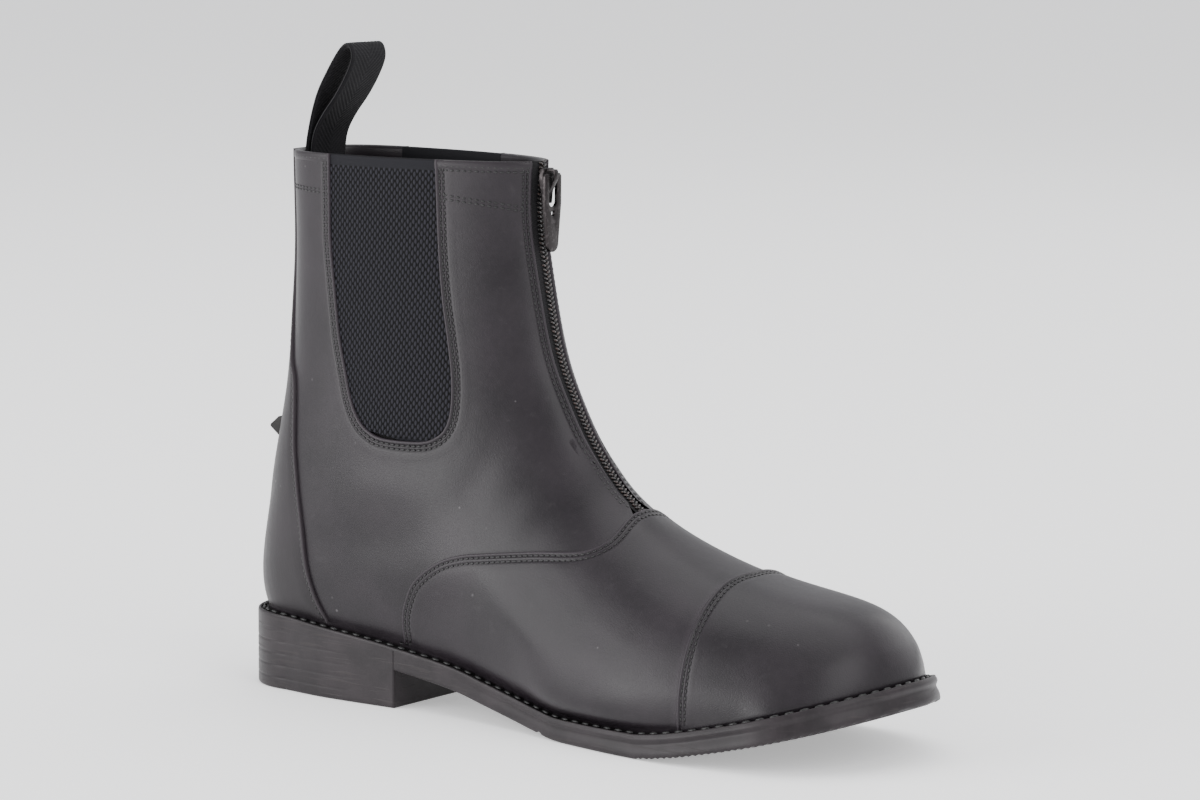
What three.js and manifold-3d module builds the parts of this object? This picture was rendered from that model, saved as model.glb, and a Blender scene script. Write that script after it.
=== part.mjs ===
// Ankle-high riding boot with a front zip, elastic side panels, a toe cap and a webbing pull loop.
// Right foot. Millimetres: X towards the toe, Y towards the medial side, Z up, floor at Z = 0.
import * as THREE from 'three';
import { mergeVertices } from 'three/addons/utils/BufferGeometryUtils.js';
import Module from 'manifold-3d';

const wasm = await Module();
wasm.setup();

// Driving sizes
const SOLE_LENGTH = 290;
const BALL_WIDTH = 100;
const COLLAR_HEIGHT = 205;
const HEEL_LIFT = 20.5;
const TOE_SPRING = 19;
const SOLE_THICKNESS = 8.6;
const HEEL_LENGTH = 81.5;
const BREAST_SLANT = 0.6;
const TREAD_START = 154;
const SPRING_POWER = 1.4;

// Sole edge
const LIP_HEIGHT = 1.2;
const LIP_WIDTH = 1.7;
const SIDE_GROOVE = 0.7;
const SIDE_GROOVE_DROP = 3.2;
const TOE_FLARE = 2;
const FLARE_START = 0.31;
const FLARE_END = 0.76;
const FEATHER_LEAN = 1.4;
const EDGE_ROUND = 0.8;
const LIP_ROUND = 0.7;
const SIDE_INSET = 0.1;
const LIFT_GROOVE = 0.6;
const LIFT_COUNT = 3;
const LIFT_REACH = 50;
const LIFT_TOP = 0.6;
const CHANNEL_WIDTH = 2.4;
const CHANNEL_DEPTH = 1.2;
const CHANNEL_PITCH = 14;
const CHANNEL_COUNT = 5;
const CHANNEL_START = 105;

// Leather and fabric
const GAP = 0.3;
const WALL = 2.2;
const WELT_THICKNESS = 1.8;
const WELT_SHOW = 3;
const VAMP_STEP = 0.9;
const CAP_THICKNESS = 1.1;
const STAY_THICKNESS = 1.2;
const INSOLE_THICKNESS = 4;
const INSOLE_EASE = 1.2;
const GORE_THICKNESS = 1.4;
const GORE_RECESS = 0.4;
const GORE_DROP = 1.5;
const CAP_PLACE = 168;
const CAP_SWEEP = 3;

// Zip
const ZIP_WIDTH = 9.6;
const ZIP_FOOT_WIDTH = 6.4;
const ZIP_FOOT_HEIGHT = 79.5;
const TAPE_THICKNESS = 1.1;
const TAPE_RECESS = 0.8;
const COIL_WIDTH = 4.6;
const COIL_THICKNESS = 0.9;
const SLIDER_WIDTH = 7.6;
const SLIDER_LENGTH = 13;
const SLIDER_THICKNESS = 2;
const SLIDER_DROP = 2.5;
const BAIL_WIDTH = 2.2;
const BAIL_THICKNESS = 0.9;
const PULL_LENGTH = 29;
const PULL_WIDTH = 10;
const PULL_TIP_WIDTH = 6.6;
const PULL_THICKNESS = 1.5;
const PULL_BAR = 1.5;
const PULL_SLOT_LENGTH = 11;
const PULL_SLOT_WIDTH = 5;
const PULL_HOLE = 2.2;

// Pull loop and spur rest
const LOOP_WIDTH = 20;
const LOOP_THICKNESS = 1.8;
const LOOP_HEIGHT = 40;
const LOOP_TAIL = 20;
const REST_WIDTH = 26;
const REST_DEPTH = 4.2;
const REST_HEIGHT = 8;
const REST_PLACE = 98.4;

// Grid of the upper: columns from back to ridge, loops from feather line to collar
const COLUMNS = 24;
const LOOPS = 20;
const BACK_SPREAD = 1.25;
const FEATHER_FADE = 0.55;
const WIDTH_FADE = 0.4;

// Fan sections of the last, toe first. Each runs from its foot to the ridge in the side plane.
// x in shares of SOLE_LENGTH, z of COLLAR_HEIGHT, half widths and shift of BALL_WIDTH.
const LAST_COLUMNS = [
  'footX', 'footZ', 'ridgeX', 'ridgeZ', 'widest', 'outer', 'inner', 'low', 'high', 'shift',
];
const LAST = [
  [0.700, 0.024, 0.802, 0.024, 0.00, 0.433, 0.370, 2.2, 2.2, 0.050],
  [0.700, 0.024, 0.805, 0.078, 0.00, 0.440, 0.375, 2.2, 2.2, 0.050],
  [0.697, 0.024, 0.798, 0.154, 0.02, 0.440, 0.385, 2.4, 2.2, 0.050],
  [0.690, 0.024, 0.760, 0.224, 0.06, 0.435, 0.400, 2.6, 2.3, 0.045],
  [0.676, 0.024, 0.693, 0.249, 0.14, 0.440, 0.420, 3.0, 2.3, 0.040],
  [0.607, 0.024, 0.621, 0.268, 0.22, 0.465, 0.440, 3.2, 2.2, 0.025],
  [0.510, 0.024, 0.547, 0.302, 0.25, 0.470, 0.430, 3.0, 2.1, 0.015],
  [0.386, 0.024, 0.472, 0.341, 0.30, 0.425, 0.390, 2.8, 2.1, 0.015],
  [0.180, 0.024, 0.400, 0.403, 0.40, 0.370, 0.345, 2.6, 2.0, 0.015],
  [-0.052, 0.024, 0.353, 0.483, 0.44, 0.350, 0.340, 2.6, 2.0, 0.010],
  [-0.156, 0.146, 0.322, 0.563, 0.42, 0.330, 0.330, 2.6, 2.0, 0],
  [-0.148, 0.351, 0.293, 0.656, 0.40, 0.315, 0.315, 2.6, 2.0, 0],
  [-0.120, 0.576, 0.274, 0.776, 0.38, 0.280, 0.280, 2.7, 2.0, 0],
  [-0.110, 0.790, 0.262, 0.893, 0.36, 0.252, 0.252, 2.9, 2.0, 0],
  [-0.114, 1.000, 0.264, 1.000, 0.36, 0.240, 0.240, 3.0, 2.0, 0],
].map((row) => Object.fromEntries(LAST_COLUMNS.map((name, i) => [name, row[i]])));

// Sole outline between its round ends: x in shares of SOLE_LENGTH, half widths of BALL_WIDTH
const OUTLINE = [
  { x: -0.076, outer: 0.310, inner: 0.310 },
  { x: 0.000, outer: 0.335, inner: 0.330 },
  { x: 0.110, outer: 0.333, inner: 0.307 },
  { x: 0.207, outer: 0.334, inner: 0.288 },
  { x: 0.310, outer: 0.378, inner: 0.315 },
  { x: 0.414, outer: 0.450, inner: 0.400 },
  { x: 0.510, outer: 0.498, inner: 0.465 },
  { x: 0.590, outer: 0.510, inner: 0.490 },
  { x: 0.672, outer: 0.480, inner: 0.482 },
];
const HEEL_END = -0.169;
const TOE_END = 0.831;
const TOE_SHIFT = 0.06;
const HEEL_ROUND = 2.3;
const TOE_ROUND = 1.95;

// Underside of the sole plate before the toe spring: x of SOLE_LENGTH, lift of HEEL_LIFT
const ARCH = [
  { x: -0.169, lift: 1.000 },
  { x: -0.100, lift: 0.995 },
  { x: -0.024, lift: 0.920 },
  { x: 0.065, lift: 0.795 },
  { x: 0.114, lift: 0.707 },
  { x: 0.207, lift: 0.507 },
  { x: 0.262, lift: 0.340 },
  { x: 0.317, lift: 0.185 },
  { x: 0.359, lift: 0.078 },
  { x: 0.407, lift: 0.000 },
  { x: 0.530, lift: 0.000 },
];

// Elastic window in the side view: z of COLLAR_HEIGHT, edges of SOLE_LENGTH
const WINDOW = [
  { z: 1.010, rear: -0.019, front: 0.145 },
  { z: 0.930, rear: -0.017, front: 0.148 },
  { z: 0.840, rear: -0.014, front: 0.153 },
  { z: 0.755, rear: -0.004, front: 0.162 },
  { z: 0.670, rear: 0.008, front: 0.175 },
  { z: 0.610, rear: 0.021, front: 0.183 },
  { z: 0.560, rear: 0.033, front: 0.185 },
  { z: 0.526, rear: 0.047, front: 0.181 },
  { z: 0.505, rear: 0.064, front: 0.169 },
  { z: 0.493, rear: 0.090, front: 0.145 },
];

// Rear edge of the vamp in the side view, from the sole up to the foot of the zip
const VAMP_EDGE = [
  { x: 0.118, z: 0.080 },
  { x: 0.122, z: 0.165 },
  { x: 0.131, z: 0.205 },
  { x: 0.148, z: 0.244 },
  { x: 0.184, z: 0.281 },
  { x: 0.218, z: 0.298 },
  { x: 0.255, z: 0.306 },
  { x: 0.326, z: 0.318 },
  { x: 0.386, z: 0.324 },
  { x: 0.411, z: 0.336 },
  { x: 0.420, z: 0.355 },
  { x: 0.419, z: 0.387 },
];

// Front edge of the back stay: its distance ahead of the back line at each height
const STAY_EDGE = [
  { z: 1.000, ahead: 0.0062 },
  { z: 0.760, ahead: 0.0100 },
  { z: 0.625, ahead: 0.0260 },
  { z: 0.578, ahead: 0.0440 },
  { z: 0.468, ahead: 0.0690 },
  { z: 0.395, ahead: 0.0890 },
  { z: 0.307, ahead: 0.1100 },
  { z: 0.236, ahead: 0.1240 },
  { z: 0.176, ahead: 0.1370 },
  { z: 0.100, ahead: 0.1500 },
];

// Centre line of the pull loop: x of LOOP_HEIGHT behind the collar's back wall, z above the collar
const LOOP_PATH = [
  { x: 0.04, z: 0.05 },
  { x: 0.15, z: 0.47 },
  { x: 0.31, z: 0.76 },
  { x: 0.46, z: 0.96 },
  { x: 0.55, z: 0.99 },
  { x: 0.59, z: 0.91 },
  { x: 0.57, z: 0.81 },
  { x: 0.49, z: 0.66 },
  { x: 0.38, z: 0.50 },
  { x: 0.24, z: 0.33 },
  { x: 0.14, z: 0.17 },
  { x: 0.10, z: 0.00 },
];

const leather = new THREE.MeshStandardMaterial({ color: 0x2b292c, roughness: 0.42, metalness: 0 });
const rubber = new THREE.MeshStandardMaterial({ color: 0x2a2526, roughness: 0.6, metalness: 0 });
const elastic = new THREE.MeshStandardMaterial({ color: 0x121216, roughness: 0.9, metalness: 0 });
const webbing = new THREE.MeshStandardMaterial({ color: 0x1f1e23, roughness: 0.85, metalness: 0 });
const thread = new THREE.MeshStandardMaterial({ color: 0x17161a, roughness: 0.7, metalness: 0 });
const lining = new THREE.MeshStandardMaterial({ color: 0x1c1b1e, roughness: 0.8, metalness: 0 });
const gunmetal = new THREE.MeshStandardMaterial({ color: 0x4c4646, roughness: 0.35, metalness: 0.9 });

// Smooth curve through the rows of a table, at row number t
function smoothRow(rows, t) {
  const last = rows.length - 1;
  const i = Math.min(Math.max(Math.floor(t), 0), last - 1);
  const f = t - i;
  const result = {};
  for (const key of Object.keys(rows[0])) {
    const b = rows[i][key];
    const c = rows[i + 1][key];
    const a = i > 0 ? rows[i - 1][key] : 2 * b - c;
    const d = i + 2 <= last ? rows[i + 2][key] : 2 * c - b;
    const bend = (2 * a - 5 * b + 4 * c - d) * f * f + (3 * b - a - 3 * c + d) * f * f * f;
    result[key] = 0.5 * (2 * b + (c - a) * f + bend);
  }
  return result;
}

// Value of one column where another column, which only rises or only falls, has a given value
function lookUp(rows, along, value, column) {
  const rising = rows[rows.length - 1][along] > rows[0][along];
  let low = 0;
  let high = rows.length - 1;
  for (let step = 0; step < 40; step++) {
    const middle = (low + high) / 2;
    if ((smoothRow(rows, middle)[along] < value) === rising) low = middle;
    else high = middle;
  }
  return smoothRow(rows, (low + high) / 2)[column];
}

// Sole outline: half widths at x, for the outline moved inwards by an inset
function outlineAt(x, inset) {
  const first = OUTLINE[0];
  const final = OUTLINE[OUTLINE.length - 1];
  const heelX = first.x * SOLE_LENGTH;
  const toeX = final.x * SOLE_LENGTH;
  const heelTip = HEEL_END * SOLE_LENGTH + inset;
  const toeTip = TOE_END * SOLE_LENGTH - inset;
  const round = (share, power) => (1 - Math.min(share, 1) ** power) ** (1 / power);
  if (x < heelX) {
    const w = round((heelX - x) / (heelX - heelTip), HEEL_ROUND);
    return {
      outer: w * (first.outer * BALL_WIDTH - inset),
      inner: w * (first.inner * BALL_WIDTH - inset),
    };
  }
  if (x > toeX) {
    const shift = TOE_SHIFT * BALL_WIDTH;
    const w = round((x - toeX) / (toeTip - toeX), TOE_ROUND);
    return {
      outer: w * (final.outer * BALL_WIDTH + shift - inset) - shift,
      inner: w * (final.inner * BALL_WIDTH - shift - inset) + shift,
    };
  }
  return {
    outer: lookUp(OUTLINE, 'x', x / SOLE_LENGTH, 'outer') * BALL_WIDTH - inset,
    inner: lookUp(OUTLINE, 'x', x / SOLE_LENGTH, 'inner') * BALL_WIDTH - inset,
  };
}

// Underside of the sole plate, without the heel block
function plateBottom(x) {
  if (x <= TREAD_START) {
    return Math.max(lookUp(ARCH, 'x', x / SOLE_LENGTH, 'lift'), 0) * HEEL_LIFT;
  }
  const share = (x - TREAD_START) / (TOE_END * SOLE_LENGTH - TREAD_START);
  return TOE_SPRING * share ** SPRING_POWER;
}

// How far the sole's side leans in from its bottom edge to its lip
function flareAt(x) {
  const share = THREE.MathUtils.smoothstep(x / SOLE_LENGTH, FLARE_START, FLARE_END);
  return TOE_FLARE * share;
}

const BREAST = HEEL_END * SOLE_LENGTH + HEEL_LENGTH;
const lipTop = (x) => plateBottom(x) + SOLE_THICKNESS;
const seatTop = (x) => lipTop(x) - LIP_HEIGHT;
const featherHeight = (x) => seatTop(x) + GAP + WELT_THICKNESS + GAP;
const weltInset = (x) => flareAt(x) + LIP_WIDTH + GAP;
const featherInset = (x) => flareAt(x) * FEATHER_LEAN + LIP_WIDTH + WELT_SHOW + GAP;
const wallInset = (x) => featherInset(x) + WALL;

// Stations along the sole, from heel tip to toe tip, closer together on the round ends
function soleStations(withBreast) {
  const heelTip = HEEL_END * SOLE_LENGTH;
  const toeTip = TOE_END * SOLE_LENGTH;
  const heelX = OUTLINE[0].x * SOLE_LENGTH;
  const toeX = OUTLINE[OUTLINE.length - 1].x * SOLE_LENGTH;
  const stations = [];
  const endSteps = 6;
  for (let k = 0; k < endSteps; k++) {
    stations.push(heelX - (heelX - heelTip) * Math.cos((k / endSteps) * Math.PI / 2));
  }
  const behind = 4;
  const ahead = 13;
  for (let k = 0; k < behind; k++) stations.push(heelX + ((BREAST - heelX) * k) / behind);
  stations.push(BREAST);
  if (withBreast) stations.push(BREAST + BREAST_SLANT);
  for (let k = 1; k < ahead; k++) stations.push(BREAST + ((toeX - BREAST) * k) / ahead);
  for (let k = 0; k <= endSteps; k++) {
    stations.push(toeX + (toeTip - toeX) * Math.sin((k / endSteps) * Math.PI / 2));
  }
  return stations;
}

// Closed loop round the sole at a level: lateral side from heel to toe, medial side back
function soleLoop(stations, insetAt, heightAt) {
  const heelTip = stations[0];
  const toeTip = stations[stations.length - 1];
  const lateral = [];
  const medial = [];
  const middle = (heelTip + toeTip) / 2;
  for (const station of stations) {
    const inset = insetAt(station);
    const pull = inset * ((station - middle) / (toeTip - middle));
    const x = station - pull;
    const half = outlineAt(x, inset);
    const z = heightAt(x, station);
    lateral.push(new THREE.Vector3(x, -half.outer, z));
    medial.push(new THREE.Vector3(x, half.inner, z));
  }
  const last = stations.length - 1;
  return { lateral, medial, loop: [...lateral, ...medial.slice(1, last).reverse()] };
}

// Closed solid from points and triangles, turned so that its faces point out
function solidFrom(points, triangles) {
  const geometry = new THREE.BufferGeometry().setFromPoints(points);
  let volume = 0;
  for (let k = 0; k < triangles.length; k += 3) {
    const [a, b, c] = [points[triangles[k]], points[triangles[k + 1]], points[triangles[k + 2]]];
    volume += a.dot(new THREE.Vector3().crossVectors(b, c));
  }
  if (volume < 0) triangles.reverse();
  geometry.setIndex(triangles);
  return toSolid(geometry);
}

function toSolid(geometry) {
  const plain = geometry.clone();
  plain.deleteAttribute('normal');
  plain.deleteAttribute('uv');
  const merged = mergeVertices(plain, 1e-5);
  return new wasm.Manifold(new wasm.Mesh({
    numProp: 3,
    vertProperties: new Float32Array(merged.attributes.position.array),
    triVerts: new Uint32Array(merged.index.array),
  }));
}

function toGeometry(solid) {
  const mesh = solid.getMesh();
  const geometry = new THREE.BufferGeometry();
  geometry.setAttribute('position', new THREE.BufferAttribute(mesh.vertProperties, 3));
  geometry.setIndex(new THREE.BufferAttribute(mesh.triVerts, 1));
  geometry.computeVertexNormals();
  return geometry;
}

function bridge(triangles, rowA, rowB, count, mirrored = false) {
  for (let j = 0; j < count; j++) {
    const k = (j + 1) % count;
    if (mirrored) triangles.push(rowA + j, rowA + k, rowB + j, rowA + k, rowB + k, rowB + j);
    else triangles.push(rowA + j, rowA + k, rowB + k, rowA + j, rowB + k, rowB + j);
  }
}

// Ring-shaped solid: a list of closed loops, the last one joined to the first.
// Loops from the turn on run back down, so their facets are split the other way to stay parallel.
function ringSolid(loops, turn = loops.length) {
  const count = loops[0].length;
  const triangles = [];
  for (let i = 0; i < loops.length; i++) {
    bridge(triangles, i * count, ((i + 1) % loops.length) * count, count, i >= turn);
  }
  return solidFrom(loops.flat(), triangles);
}

// Plate-shaped solid: loops from top to bottom, both ends closed by strips across
function plateSolid(loops) {
  const count = loops[0].length;
  const half = count / 2;
  const triangles = [];
  for (let i = 0; i + 1 < loops.length; i++) bridge(triangles, i * count, (i + 1) * count, count);
  const strip = (row, flip) => {
    const at = (j) => row + (j % count);
    const add = (a, b, c) => triangles.push(...(flip ? [a, c, b] : [a, b, c]));
    for (let j = 0; j < half; j++) {
      const a = at(j);
      const b = at(j + 1);
      const c = at(count - j - 1);
      const d = at(count - j);
      if (b !== c) add(a, c, b);
      if (j > 0) add(a, d, c);
    }
  };
  strip(0, false);
  strip((loops.length - 1) * count, true);
  return solidFrom(loops.flat(), triangles);
}

// Half widths of the last at a point of the side plane
function widthAt(x, z) {
  let low = 0;
  let high = LAST.length - 1;
  for (let step = 0; step < 26; step++) {
    const middle = (low + high) / 2;
    const s = sectionAt(middle);
    const turn = (s.ridge.x - s.foot.x) * (z - s.foot.y) - (s.ridge.y - s.foot.y) * (x - s.foot.x);
    if (turn > 0) low = middle;
    else high = middle;
  }
  const s = sectionAt((low + high) / 2);
  const line = s.ridge.clone().sub(s.foot);
  const place = new THREE.Vector2(x, z).sub(s.foot).dot(line) / line.lengthSq();
  const share = THREE.MathUtils.clamp(place, 0, 1);
  const above = share >= s.widest;
  const away = above ? (share - s.widest) / (1 - s.widest) : (s.widest - share) / s.widest;
  const power = above ? s.high : s.low;
  const fullness = (1 - THREE.MathUtils.clamp(away, 0, 1) ** power) ** (1 / power);
  return { outer: fullness * s.outer, inner: fullness * s.inner, shift: s.shift };
}

function sectionAt(t) {
  const row = smoothRow(LAST, t);
  return {
    foot: new THREE.Vector2(row.footX * SOLE_LENGTH, row.footZ * COLLAR_HEIGHT),
    ridge: new THREE.Vector2(row.ridgeX * SOLE_LENGTH, row.ridgeZ * COLLAR_HEIGHT),
    widest: Math.max(row.widest, 0),
    outer: row.outer * BALL_WIDTH,
    inner: row.inner * BALL_WIDTH,
    low: row.low,
    high: row.high,
    shift: row.shift * BALL_WIDTH,
  };
}

// Row number at which an end of the sections passes a height
function rowAtHeight(end, height, from, to) {
  let low = from;
  let high = to;
  for (let step = 0; step < 40; step++) {
    const middle = (low + high) / 2;
    if (sectionAt(middle)[end].y < height) low = middle;
    else high = middle;
  }
  return (low + high) / 2;
}

// Loops of points round the upper, from the feather line to the collar
function upperGrid() {
  const top = LAST.length - 1;
  const heelTip = HEEL_END * SOLE_LENGTH;
  const toeTip = TOE_END * SOLE_LENGTH;
  const backStart = rowAtHeight('foot', featherHeight(heelTip), 9, 12);
  const frontStart = rowAtHeight('ridge', featherHeight(toeTip), 0, 3);
  const ease = (t) => (1 - Math.cos(Math.PI * t)) / 2;
  const base = [];
  for (let j = 0; j <= COLUMNS; j++) {
    const x = heelTip + featherInset(heelTip)
      + (toeTip - featherInset(toeTip) - heelTip - featherInset(heelTip)) * ease(j / COLUMNS);
    const half = outlineAt(x, featherInset(x));
    const end = j === 0 || j === COLUMNS;
    const tipShift = j === 0 ? 0 : TOE_SHIFT * BALL_WIDTH;
    base.push({
      x,
      z: featherHeight(x),
      lateral: end ? tipShift : -half.outer,
      medial: end ? tipShift : half.inner,
    });
  }
  const loops = [];
  let bottom = null;
  for (let i = 0; i <= LOOPS; i++) {
    const v = i / LOOPS;
    const back = sectionAt(backStart + (top - backStart) * v ** BACK_SPREAD).foot;
    const front = sectionAt(frontStart + (top - frontStart) * v).ridge;
    const row = [];
    for (let j = 0; j <= COLUMNS; j++) {
      const share = ease(j / COLUMNS);
      const x = back.x + (front.x - back.x) * share;
      let z = back.y + (front.y - back.y) * share;
      if (bottom) z += (base[j].z - bottom[j].lineZ) * Math.max(1 - v / FEATHER_FADE, 0) ** 1.5;
      const lineZ = back.y + (front.y - back.y) * share;
      const bent = i === 0 ? base[j].z : z;
      const half = widthAt(x, bent);
      const end = j === 0 || j === COLUMNS;
      row.push({
        x,
        z: bent,
        lineZ,
        lateral: half.shift - (end ? 0 : half.outer),
        medial: half.shift + (end ? 0 : half.inner),
      });
    }
    if (i === 0) bottom = row;
    const fade = Math.max(1 - v / WIDTH_FADE, 0) ** 2;
    const point = (j, side) => {
      const p = row[j];
      const dx = (base[j].x - bottom[j].x) * fade;
      const dy = (base[j][side] - bottom[j][side]) * fade;
      return new THREE.Vector3(p.x + dx, p[side] + dy, p.z);
    };
    const lateral = row.map((_, j) => point(j, 'lateral'));
    const medial = row.map((_, j) => point(j, 'medial'));
    loops.push([...lateral, ...medial.slice(1, COLUMNS).reverse()]);
  }
  return loops;
}

const GRID = upperGrid();
const NORMALS = GRID.map((loop, i) => loop.map((point, j) => {
  const count = loop.length;
  const around = loop[(j + 1) % count].clone().sub(loop[(j + count - 1) % count]);
  const above = GRID[Math.min(i + 1, LOOPS)][j];
  const below = GRID[Math.max(i - 1, 0)][j];
  const normal = new THREE.Vector3().crossVectors(around, above.clone().sub(below));
  if (i === 0 || i === LOOPS) normal.z = 0;
  return normal.normalize();
}));

// The upper's surface moved out along its normals, with its first loop kept on the feather line
function offsetLoops(distance) {
  return GRID.map((loop, i) => loop.map((point, j) => {
    const moved = point.clone().addScaledVector(NORMALS[i][j], distance);
    if (i === 0) moved.z = featherHeight(moved.x);
    return moved;
  }));
}

// Shell of leather between two distances from the upper's outer surface
function shell(from, to) {
  return ringSolid([...offsetLoops(to), ...offsetLoops(from).reverse()], GRID.length);
}

// Prism with a side-view outline, running across the boot between two y
function sidePrism(points, from, to) {
  const shape = new THREE.Shape(points.map((p) => new THREE.Vector2(p.x, p.z)));
  const geometry = new THREE.ExtrudeGeometry(shape, { depth: to - from, bevelEnabled: false });
  geometry.rotateX(Math.PI / 2);
  geometry.translate(0, to, 0);
  return toSolid(geometry);
}

const HALF_SPACE = BALL_WIDTH;
const side = (row, column = 'x') => ({ x: row[column] * SOLE_LENGTH, z: row.z * COLLAR_HEIGHT });

// Outline of the elastic window, moved inwards by a clearance
function windowOutline(clearance, top) {
  const rear = WINDOW.map((row) => side(row, 'rear')).filter((p) => p.z < top);
  const front = WINDOW.map((row) => side(row, 'front')).filter((p) => p.z < top);
  rear.forEach((p) => { p.x += clearance; });
  front.forEach((p) => { p.x -= clearance; });
  rear[rear.length - 1].z += clearance;
  front[front.length - 1].z += clearance;
  const topRear = { x: WINDOW[0].rear * SOLE_LENGTH + clearance, z: top };
  const topFront = { x: WINDOW[0].front * SOLE_LENGTH - clearance, z: top };
  return [topRear, ...rear, ...front.reverse(), topFront];
}

// Front-view strip for the zip, cut out of the front wall only
function zipPrism(topWidth, footWidth, footHeight, topHeight) {
  const shape = new THREE.Shape([
    new THREE.Vector2(-footWidth / 2, footHeight),
    new THREE.Vector2(footWidth / 2, footHeight),
    new THREE.Vector2(topWidth / 2, topHeight),
    new THREE.Vector2(-topWidth / 2, topHeight),
  ]);
  const behind = 50;
  const geometry = new THREE.ExtrudeGeometry(shape, { depth: HALF_SPACE, bevelEnabled: false });
  geometry.rotateX(Math.PI / 2);
  geometry.rotateZ(Math.PI / 2);
  geometry.translate(behind, 0, 0);
  return toSolid(geometry);
}

function buildSole() {
  const stations = soleStations(true);
  const heelBlock = (x, station) => (station <= BREAST ? 0 : plateBottom(x));
  const height = (x) => lipTop(x) - plateBottom(x);
  const lean = (x, drop) => flareAt(x) * Math.max(1 - drop / height(x), 0);
  const levels = [
    { inset: LIP_WIDTH, drop: LIP_HEIGHT },
    { inset: LIP_WIDTH - SIDE_INSET, drop: 0 },
    { inset: LIP_ROUND, drop: 0 },
    { inset: SIDE_INSET, drop: LIP_ROUND },
    { inset: SIDE_INSET, drop: SIDE_GROOVE_DROP - SIDE_GROOVE },
    { inset: SIDE_GROOVE, drop: SIDE_GROOVE_DROP },
    { inset: SIDE_GROOVE, drop: SIDE_GROOVE_DROP + SIDE_GROOVE / 2 },
    { inset: SIDE_INSET, drop: SIDE_GROOVE_DROP + 1.5 * SIDE_GROOVE },
  ].map((level) => soleLoop(
    stations,
    (x) => level.inset + lean(x, level.drop > LIP_HEIGHT ? level.drop : 0),
    (x) => lipTop(x) - level.drop,
  ).loop);
  const rounded = (x, station) => heelBlock(x, station) + EDGE_ROUND;
  levels.push(soleLoop(stations, () => 0, rounded).loop);
  levels.push(soleLoop(stations, () => EDGE_ROUND, heelBlock).loop);
  const sole = plateSolid(levels);
  return {
    outsole: sole.subtract(heelRegion(0)).subtract(treadChannels()),
    heel: sole.intersect(heelRegion(GAP)).subtract(liftGrooves()),
  };
}

// Everything behind the breast and below the sole plate, less a clearance under the plate
function heelRegion(clearance) {
  const stations = soleStations(true).filter((x) => x <= BREAST + BREAST_SLANT);
  const top = stations.map((x) => ({ x, z: plateBottom(x) - clearance }));
  top[0].x -= GAP;
  const under = [{ x: top[0].x, z: -GAP }, { x: top[top.length - 1].x, z: -GAP }];
  return sidePrism([...under, ...top.reverse()], -HALF_SPACE, HALF_SPACE);
}

// Channels across the tread, the first one where the tread plate begins
function treadChannels() {
  const bars = [];
  for (let k = 0; k < CHANNEL_COUNT; k++) {
    const x = CHANNEL_START + (k > 0 ? k + 0.5 : 0) * CHANNEL_PITCH;
    const bar = new THREE.BoxGeometry(CHANNEL_WIDTH, 2 * HALF_SPACE, 2 * CHANNEL_DEPTH);
    bar.translate(x, 0, plateBottom(x));
    bars.push(toSolid(bar));
  }
  return bars.reduce((all, bar) => all.add(bar));
}

// Fine grooves round the back of the heel, like the joints of stacked lifts
function liftGrooves() {
  const outside = 6;
  const stations = [];
  const front = HEEL_END * SOLE_LENGTH + LIFT_REACH;
  const steps = 7;
  for (let k = 0; k <= steps; k++) {
    const share = 1 - Math.cos((k / steps) * Math.PI / 2);
    stations.push(HEEL_END * SOLE_LENGTH + share * (front - HEEL_END * SOLE_LENGTH));
  }
  const loopAt = (inset, z) => {
    const right = [];
    const left = [];
    stations.forEach((station) => {
      const x = station + inset * (1 - (station - stations[0]) / (front - stations[0]));
      const half = outlineAt(Math.max(x, HEEL_END * SOLE_LENGTH + inset), inset);
      right.push(new THREE.Vector3(x, -half.outer, z));
      left.push(new THREE.Vector3(x, half.inner, z));
    });
    return [...right, ...left.slice(1).reverse()];
  };
  const spacing = HEEL_LIFT / (LIFT_COUNT + LIFT_TOP);
  const grooves = [];
  for (let k = 0; k < LIFT_COUNT; k++) {
    const z = spacing * (k + 1);
    const shape = (inset) => {
      const outline = loopAt(inset, 0).map((p) => new THREE.Vector2(p.x, p.y));
      return new THREE.Shape(outline);
    };
    const thick = { depth: LIFT_GROOVE, bevelEnabled: false };
    const thicker = { depth: 2 * LIFT_GROOVE, bevelEnabled: false };
    const outer = new THREE.ExtrudeGeometry(shape(-outside), thick);
    const inner = new THREE.ExtrudeGeometry(shape(LIFT_GROOVE), thicker);
    outer.translate(0, 0, z);
    inner.translate(LIFT_GROOVE, 0, z - LIFT_GROOVE / 2);
    grooves.push(toSolid(outer).subtract(toSolid(inner)));
  }
  return grooves.reduce((all, groove) => all.add(groove));
}

function buildWelt() {
  const stations = soleStations(false);
  const under = (x) => seatTop(x) + GAP;
  const over = (x) => under(x) + WELT_THICKNESS;
  return ringSolid([
    soleLoop(stations, weltInset, over).loop,
    soleLoop(stations, weltInset, under).loop,
    soleLoop(stations, wallInset, under).loop,
    soleLoop(stations, wallInset, over).loop,
  ]);
}

function buildInsole() {
  const stations = soleStations(false);
  const inset = (x) => wallInset(x) + INSOLE_EASE;
  const under = (x) => seatTop(x) + GAP;
  return plateSolid([
    soleLoop(stations, inset, (x) => under(x) + INSOLE_THICKNESS).loop,
    soleLoop(stations, inset, under).loop,
  ]);
}

// Side-view region in front of the vamp's rear edge, down to the toe
function vampRegion() {
  const edge = VAMP_EDGE.map((row) => side(row));
  const far = SOLE_LENGTH;
  const under = -HEEL_LIFT;
  return [
    { x: edge[0].x, z: under },
    ...edge,
    { x: far, z: edge[edge.length - 1].z },
    { x: far, z: under },
  ];
}

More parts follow.
